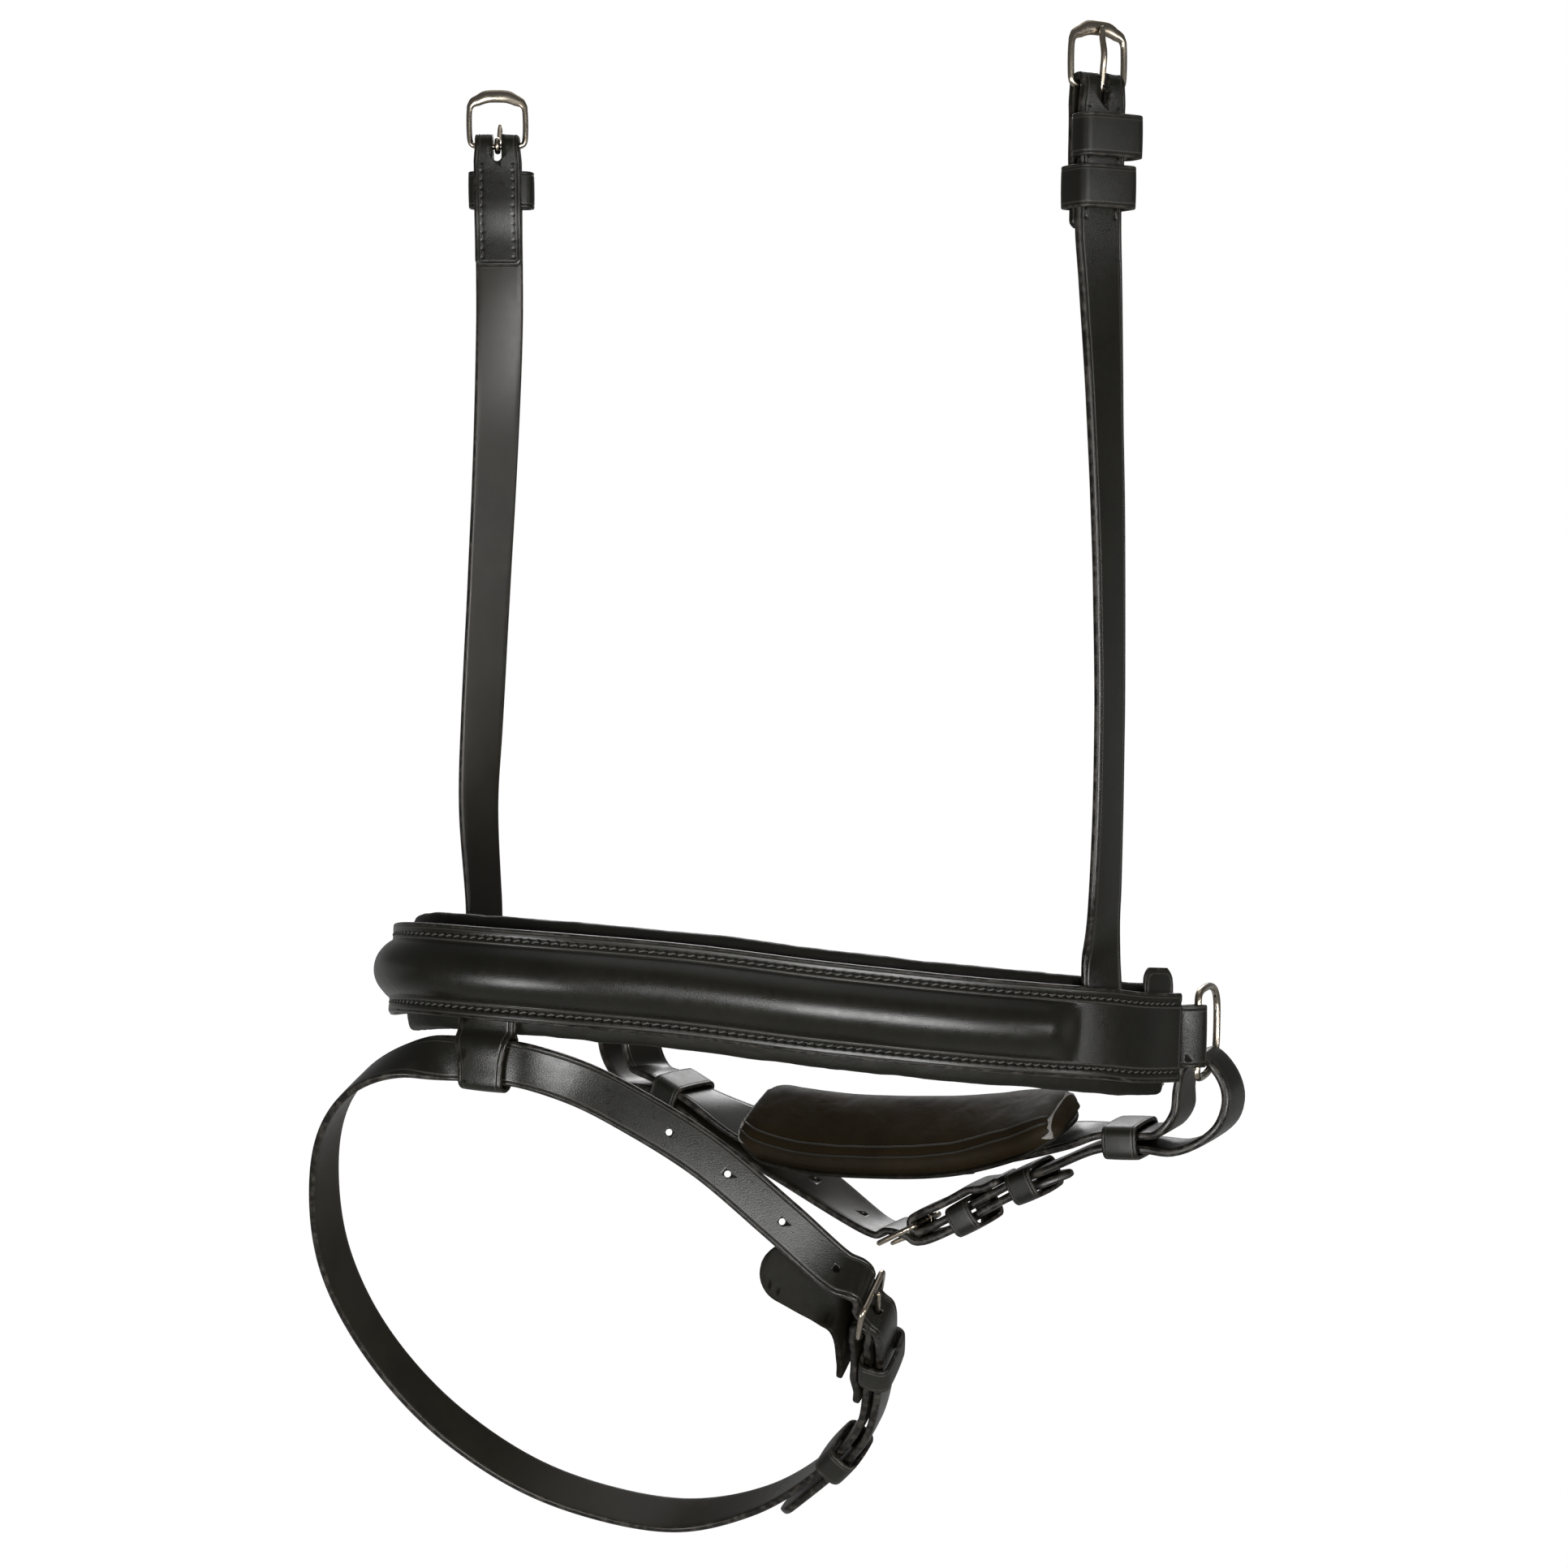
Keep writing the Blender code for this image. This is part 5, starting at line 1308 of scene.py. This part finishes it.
def prong(name, buckle, swing, bow, broad):
    """Tongue with an eye round the bar; swing lifts its tip off the frame, in degrees."""
    radius = 0.75
    eye = BAR_RADIUS + 0.2 + radius
    along = polar(buckle.along, buckle.face, swing)
    out = polar(buckle.face, -buckle.along, swing)
    rest = SIDE_RADIUS + radius + 0.2
    tip = buckle.length + 0.6
    spots = []
    for degrees in (-60, -95, -130, -165, -200, -235, -270):
        t = math.radians(degrees)
        spots.append((math.cos(t) * eye, math.sin(t) * eye))
    spots += [(tip * 0.25, eye + bow * 0.5), (tip * 0.55, (eye + rest) / 2 + bow),
              (tip * 0.85, rest + bow * 0.15), (tip + 0.1, rest + 0.05), (tip + 0.5, rest + 0.03),
              (tip + 0.62, rest + 0.03)]
    scale = (0.8, 1.0, 1.0, 1.0, 1.0, 1.0, 1.0, 1.0, 1.0, 0.95, 0.8, 0.5, 0.15)
    path, thick = fair([buckle.bar + along * x + out * y for x, y in spots],
                       [(radius * k * 1.1, radius * k * broad) for k in scale], step=0.4)
    return wire(name, path, thick, buckle.across)


# arch of the outer bar, how much broader it is than the sides, and radius of its corners
CHEEK_FRAME = (1.3, 2.2, 3.2)
PLAIN_FRAME = (0.0, 1.0, 1.9)


class NOSEBAND_OT_buckles(bpy.types.Operator):
    """Buckle frames and prongs of the cheek, flash and chin straps"""
    bl_idname = "noseband.buckles"
    bl_label = "Buckles and prongs"

    def execute(self, context):
        for label, buckle, shape, swing, bow, broad in (
                ("near_cheek", cheek("near")[0], CHEEK_FRAME, 0.0, 1.0, 1.2),
                ("far_cheek", cheek("far")[0], CHEEK_FRAME, 52.0, 1.0, 1.2),
                ("flash", flash_parts().buckle, PLAIN_FRAME, 0.0, 0.3, 1.0),
                ("chin", chin_parts().buckle, PLAIN_FRAME, 0.0, 0.3, 1.0)):
            title = label.capitalize()
            name = label + "_buckle"
            dress(buckle_frame(title + "_buckle", buckle, *shape), name, "Plated steel", name)
            name = label + "_prong"
            dress(prong(title + "_prong", buckle, swing, bow, broad), name, "Plated steel", name)
        return {"FINISHED"}


class NOSEBAND_OT_keepers(bpy.types.Operator):
    """Fixed and running keepers of every strap, and the loops that hold the chin pad"""
    bl_idname = "noseband.keepers"
    bl_label = "Keepers"

    def execute(self, context):
        s = sizes()
        wall = mm(s.keeper_wall)
        near = cheek("near")[0]
        far = cheek("far")[0]
        wide = mm(s.cheek_width) / 2
        high = mm(s.cheek_thick) + GAP * 2 + wall / 2
        keeper("near_fixed_keeper", (near.bar - UP * 13.7 + near.across * 0.9, UP, near.face), wide + 1.4,
               wall / 2, high + 3.1, body="noseband")
        keeper("near_running_keeper", (near.bar - UP * 27.2, UP, near.face), wide + 0.7, -(high - GAP + 0.5),
               high + 2.6)
        keeper("far_fixed_keeper", (far.bar - UP * 13.7 - far.across * 0.8, UP, far.face), wide + 1.6,
               wall / 2, high + 3.1, body="noseband")
        bed = flash_parts().bed
        t = mm(s.flash_thick)
        wide = mm(s.flash_width) / 2
        keeper("flash_fixed_keeper", bed.at(11.0), wide + 1.3, -(t / 2 + GAP + 0.15), t * 1.5 + 2.1, 9.0, "flash")
        keeper("flash_running_keeper", bed.at(54.0), wide + 0.9, -(t / 2 + 0.7), t * 1.5 + 1.7, 10.0)
        chin = chin_parts()
        t = mm(s.chin_thick)
        wide = mm(s.chin_width) / 2
        keeper("chin_fixed_keeper", chin.bed.at(11.0), wide + 0.8, -(t / 2 + GAP), t * 1.5 + 2.2, 9.0, "chin")
        keeper("chin_running_keeper", chin.bed.at(36.0), wide + 0.8, -(t / 2 + 0.7), t * 1.5 + 1.9, 9.0)
        for name, pair in (("near_ring_keeper", chin.near_pair), ("far_ring_keeper", chin.far_pair)):
            half = pair.apart / 2 + t / 2 + 0.6
            keeper(name, pair.place, wide + 0.8, -half, half, 11.0)
        room = GAP + 0.3
        for name, d in (("near_pad_loop", chin.pad_start + 40.0), ("far_pad_loop", chin.pad_end - 22.0)):
            keeper(name, chin.route.at(d), wide + 0.6, -(t / 2 + room), t / 2 + room, 8.0, "chin")
        return {"FINISHED"}


def punch_holes(piece, label, parts, thick, count, first, radius, deep):
    """Crew slot, the prong's way and a row of holes in a strap that buckles up."""
    tools = slot_tools(label + "_crew", parts.buckle, thick, 5.5)
    tools.append(prong_way(label + "_prong_way", parts.buckle))
    for number in range(count):
        point, run, face, side = parts.route.at(parts.at_bar - first - HOLE_PITCH * number)
        tools.append(cutter("%s_hole_%d" % (label, number), point, run, face, radius, radius, deep))
    cut(piece, tools)


class NOSEBAND_OT_flash(bpy.types.Operator):
    """Flash strap, the loop that carries it and the safe behind its buckle"""
    bl_idname = "noseband.flash"
    bl_label = "Flash strap"

    def execute(self, context):
        t = mm(sizes().flash_thick)
        tab = flash_tab()
        middle = tab.length / 2
        piece = strap("Flash_loop", tab, 18.0, TAB_THICK, wave=0.05,
                      taper=lambda d: 0.78 + 0.22 * ease((abs(d - middle) - 6.0) / 14.0),
                      cup=lambda d: 0.012 * min(max((d - middle) / 12.0, -1.0), 1.0))
        dress(piece, "noseband", "Strap leather", "flash_loop")

        parts = flash_parts()
        piece = strap("Flash_strap", parts.route, mm(sizes().flash_width), t, ends=("soft", "point"),
                      taper=crew_taper(parts.at_fold))
        punch_holes(piece, "flash", parts, t, 4, 11.0, 0.95, 2.0)
        dress(piece, "flash", "Strap leather", "flash_strap")

        rows = laid_on(parts.bed, ((16.0, -parts.wide - t / 2 - 2.4), (7.0, -parts.wide - t / 2 - 2.4)))
        rows.append((parts.buckle.spot(0, 1.0, -7.6), vec(0.9, 0.1, -0.3)))
        rows += rows_of((-57.5, -53, -331, 0.72, -0.5, -0.1), (-69, -59.5, -324, 0.6, -0.72, 0.1))
        piece = strap("Flash_buckle_safe", Route(rows), 17.5, 1.8, ends=("soft", "round"))
        dress(piece, "flash", "Safe leather", "flash_buckle_safe")
        return {"FINISHED"}


class NOSEBAND_OT_chin_strap(bpy.types.Operator):
    """Chin strap, which threads both rings and doubles back"""
    bl_idname = "noseband.chin_strap"
    bl_label = "Chin strap"

    def execute(self, context):
        t = mm(sizes().chin_thick)
        parts = chin_parts()
        piece = strap("Chin_strap", parts.route, mm(sizes().chin_width), t, ends=("soft", "point"),
                      taper=parts.taper)
        punch_holes(piece, "chin", parts, t, 3, 10.0, 1.25, 2.2)
        dress(piece, "chin", "Strap leather", "chin_strap")
        return {"FINISHED"}


class NOSEBAND_OT_chin_pad(bpy.types.Operator):
    """Padded chin rest: backing leather, puffed cover and two welts"""
    bl_idname = "noseband.chin_pad"
    bl_label = "Chin pad"

    def execute(self, context):
        s = sizes()
        parts = chin_parts()
        route = parts.route
        base = mm(s.chin_thick) / 2 + GAP + 0.3 + mm(s.keeper_wall) + PAD_ROOM
        piece = strap("Chin_pad_backing", route, 31.0, 1.4, parts.pad_start, parts.pad_end, base + 0.7,
                      ("round", "round"))
        dress(piece, "chin", "Safe leather", "chin_pad_backing")

        face_at = base + 1.6
        half = 14.5
        tall = 7.5
        arcs = 32
        welt_steps = 60
        low, high = parts.pad_start + 1.0, parts.pad_end - 1.0

        def cover_at(d, t):
            """Point on the cover at distance d and angle t round its section, its across, and half width."""
            point, run, face, side = route.at(d)
            ahead = min(d - low, high - d)
            wide = half * (0.5 + 0.5 * dome(ahead / 12.0))
            rise = tall * (0.06 + 0.94 * dome(ahead / 7.0))
            q = abs(math.sin(t)) ** 0.62
            b = rise * q
            a = wide * squared(math.cos(t), 0.8) * (1.0 - 0.06 * math.exp(-((b - 1.5) / 0.6) ** 2))
            spot = point + side * a + face * (b + face_at)
            puff = (noise.noise(spot * 0.12) * 0.4 + noise.noise(spot * 0.4) * 0.12) * q
            return spot + face * puff, a, wide

        rings = []
        marks = both_ends(low, high, (0.15, 0.5, 1.1, 2.0, 3.2, 4.6, 6.4, 8.2, 10.0))
        for d in route.stops(low, high, 1.6, 5.0, marks):
            point, run, face, side = route.at(d)
            ring = []
            for j in range(arcs + 1):
                spot, a, wide = cover_at(d, math.pi * j / arcs)
                ring.append((spot, d, a, 3.0, 1.0))
            for f in (-0.6, -0.2, 0.2, 0.6):
                ring.append((point + side * (wide * f) + face * face_at, d, wide * f, 3.0, 0.0))
            rings.append(ring)
        piece = dress(loft("Chin_pad_cover", rings), "chin", "Chin pad leather", "chin_pad_cover")
        point, run, face, side = route.at((low + high) / 2)
        for label, t in (("upper", 1.0), ("lower", 0.66)):
            angle = math.pi - t if side.z > 0 else t
            path = [cover_at(low + 3.0 + (high - low - 6.0) * i / welt_steps, angle)[0]
                    for i in range(welt_steps + 1)]
            welt = wire("Chin_pad_welt_" + label, path, [(0.42, 0.42)] * len(path), face, sides=8)
            dress(welt, "chin", "Welt leather")
        return {"FINISHED"}


class NOSEBAND_OT_inner_layers(bpy.types.Operator):
    """Finishes for the solids that stay inside: roll core, stiffener and foam"""
    bl_idname = "noseband.inner_layers"
    bl_label = "Felt and foam inside"

    def execute(self, context):
        felt = filling("Roll felt", (0.02, 0.018, 0.016), (0.07, 0.065, 0.06), 900.0, 0.95)
        foam = filling("Foam", (0.09, 0.085, 0.08), (0.26, 0.25, 0.235), 1400.0, 0.9)
        board = filling("Stiffener board", (0.012, 0.010, 0.008), (0.05, 0.042, 0.033), 700.0, 0.8)
        for name, material in (("noseband_roll_core", felt), ("noseband_stiffener", board),
                               ("noseband_foam", foam), ("chin_pad_foam", foam)):
            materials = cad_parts[name].data.materials
            materials.clear()
            materials.append(material)
        return {"FINISHED"}


CAMERA_AT = (0.3508, -0.6401, -0.1072)
CAMERA_PITCH = 6.54
CAMERA_TURN = 35.4
MIDDLE_OF_PART = (-0.1, 0.0, -0.2)
FLOOR_AT = -1.0
BACKDROP_WAY = (-0.578, 0.816, 0.0)
ROOM_LIGHT = 0.15

# name, place, size and power in watts
LIGHTS = (
    ("Front light", (0.72, -0.74, -0.31), (0.7, 0.36), 3.5),
    ("Left light", (-0.30, -1.69, -0.71), (0.4, 0.45), 3.2),
    ("Side light", (1.5, 0.05, -0.15), (0.3, 0.3), 1.0),
    ("Top light", (-0.1, 0.2, 1.3), (1.8, 1.8), 2.0),
    ("Back light", (-0.9, 1.3, 0.75), (1.2, 1.0), 5.5),
)


def soft_light(name, at, size, power):
    """Lamp with soft edges to its shadow, turned to the middle of the part."""
    data = bpy.data.lights.new(name, "AREA")
    data.shape = "RECTANGLE"
    data.size, data.size_y = size
    data.energy = power
    data.spread = math.radians(80.0)
    lamp = linked(name, data)
    lamp.location = at
    lamp.rotation_euler = (Vector(MIDDLE_OF_PART) - Vector(at)).to_track_quat("-Z", "Y").to_euler()


def white_where_seen(tree, way, low, high, share):
    """1 for the camera, share for reflections of what lies behind the part, and 0 for all other light."""
    rays = node(tree, "ShaderNodeLightPath").outputs
    behind = node(tree, "ShaderNodeVectorMath", {0: way, 1: BACKDROP_WAY}, operation="DOT_PRODUCT")
    behind = ramp(tree, behind.outputs["Value"], low, high, kind="SMOOTHSTEP")
    mirrored = calc(tree, "MULTIPLY", rays["Is Glossy Ray"], calc(tree, "MULTIPLY", behind, share))
    seen = calc(tree, "MAXIMUM", rays["Is Camera Ray"], rays["Is Transmission Ray"])
    return calc(tree, "MAXIMUM", seen, mirrored)


def pale_floor():
    """Pale floor that shows white to the camera away from the object's shadow."""
    mesh = bmesh.new()
    bmesh.ops.create_grid(mesh, x_segments=1, y_segments=1, size=30.0)
    bmesh.ops.translate(mesh, verts=mesh.verts, vec=(0.0, 0.0, FLOOR_AT))
    data = bpy.data.meshes.new("Floor")
    mesh.to_mesh(data)
    mesh.free()
    material, tree, surface, place = new_material("Pale floor")
    surface.inputs["Base Color"].default_value = rgba(colours().backdrop)
    surface.inputs["Roughness"].default_value = 0.9
    surface.inputs["Specular IOR Level"].default_value = 0.0
    seen = white_where_seen(tree, place, 0.3, 1.5, 0.25)
    away = node(tree, "ShaderNodeVectorMath", {0: place}, operation="LENGTH").outputs["Value"]
    surface.inputs["Emission Color"].default_value = grey(1.0)
    tree.links.new(calc(tree, "MULTIPLY", seen, ramp(tree, away, 0.9, 2.6, 0.78, 0.9)),
                   surface.inputs["Emission Strength"])
    data.materials.append(material)
    linked("Floor", data)


def white_world():
    """White background for the camera, and plain soft light for the object."""
    world = bpy.data.worlds.new("Studio")
    world.use_nodes = True
    tree = world.node_tree
    background = tree.nodes["Background"].inputs
    seen = white_where_seen(tree, node(tree, "ShaderNodeTexCoord").outputs["Generated"], 0.7, 0.97, 0.15)
    background["Color"].default_value = grey(1.0)
    tree.links.new(calc(tree, "MULTIPLY_ADD", seen, 1.0 - ROOM_LIGHT, ROOM_LIGHT), background["Strength"])
    bpy.context.scene.world = world


class NOSEBAND_OT_studio(bpy.types.Operator):
    """Pale floor, soft lights, white background and the camera"""
    bl_idname = "noseband.studio"
    bl_label = "Studio"

    def execute(self, context):
        pale_floor()
        white_world()
        for light in LIGHTS:
            soft_light(*light)
        data = bpy.data.cameras.new("Camera")
        data.lens = 60.0
        data.sensor_width = 36.0
        camera = linked("Camera", data)
        camera.location = CAMERA_AT
        camera.rotation_euler = (math.radians(90.0 - CAMERA_PITCH), 0.0, math.radians(CAMERA_TURN))
        context.scene.camera = camera
        context.scene.view_settings.view_transform = "Standard"
        return {"FINISHED"}


PIECES = (NOSEBAND_OT_outer, NOSEBAND_OT_lining, NOSEBAND_OT_ring_ends, NOSEBAND_OT_cheek_straps,
          NOSEBAND_OT_buckles, NOSEBAND_OT_keepers, NOSEBAND_OT_flash, NOSEBAND_OT_chin_strap,
          NOSEBAND_OT_chin_pad, NOSEBAND_OT_inner_layers, NOSEBAND_OT_studio)


class NOSEBAND_PT_panel(bpy.types.Panel):
    """Sizes, colours and the steps that make the noseband"""
    bl_idname = "NOSEBAND_PT_panel"
    bl_label = "Noseband"
    bl_space_type = "VIEW_3D"
    bl_region_type = "UI"
    bl_category = "Noseband"

    def draw(self, context):
        column = self.layout.column()
        for step in PIECES:
            column.operator(step.bl_idname)
        for group in (context.scene.noseband_sizes, context.scene.noseband_colours):
            for name in group.bl_rna.properties.keys():
                if name not in ("rna_type", "name"):
                    column.prop(group, name)


CLASSES = (NosebandSizes, NosebandColours) + PIECES + (NOSEBAND_PT_panel,)


def register():
    for kind in CLASSES:
        bpy.utils.register_class(kind)
    bpy.types.Scene.noseband_sizes = PointerProperty(type=NosebandSizes)
    bpy.types.Scene.noseband_colours = PointerProperty(type=NosebandColours)


def unregister():
    del bpy.types.Scene.noseband_sizes
    del bpy.types.Scene.noseband_colours
    for kind in reversed(CLASSES):
        bpy.utils.unregister_class(kind)


def main():
    register()
    bpy.ops.noseband.outer()
    bpy.ops.noseband.lining()
    bpy.ops.noseband.ring_ends()
    bpy.ops.noseband.cheek_straps()
    bpy.ops.noseband.buckles()
    bpy.ops.noseband.keepers()
    bpy.ops.noseband.flash()
    bpy.ops.noseband.chin_strap()
    bpy.ops.noseband.chin_pad()
    bpy.ops.noseband.inner_layers()
    bpy.ops.noseband.studio()


if __name__ == "__main__":
    main()
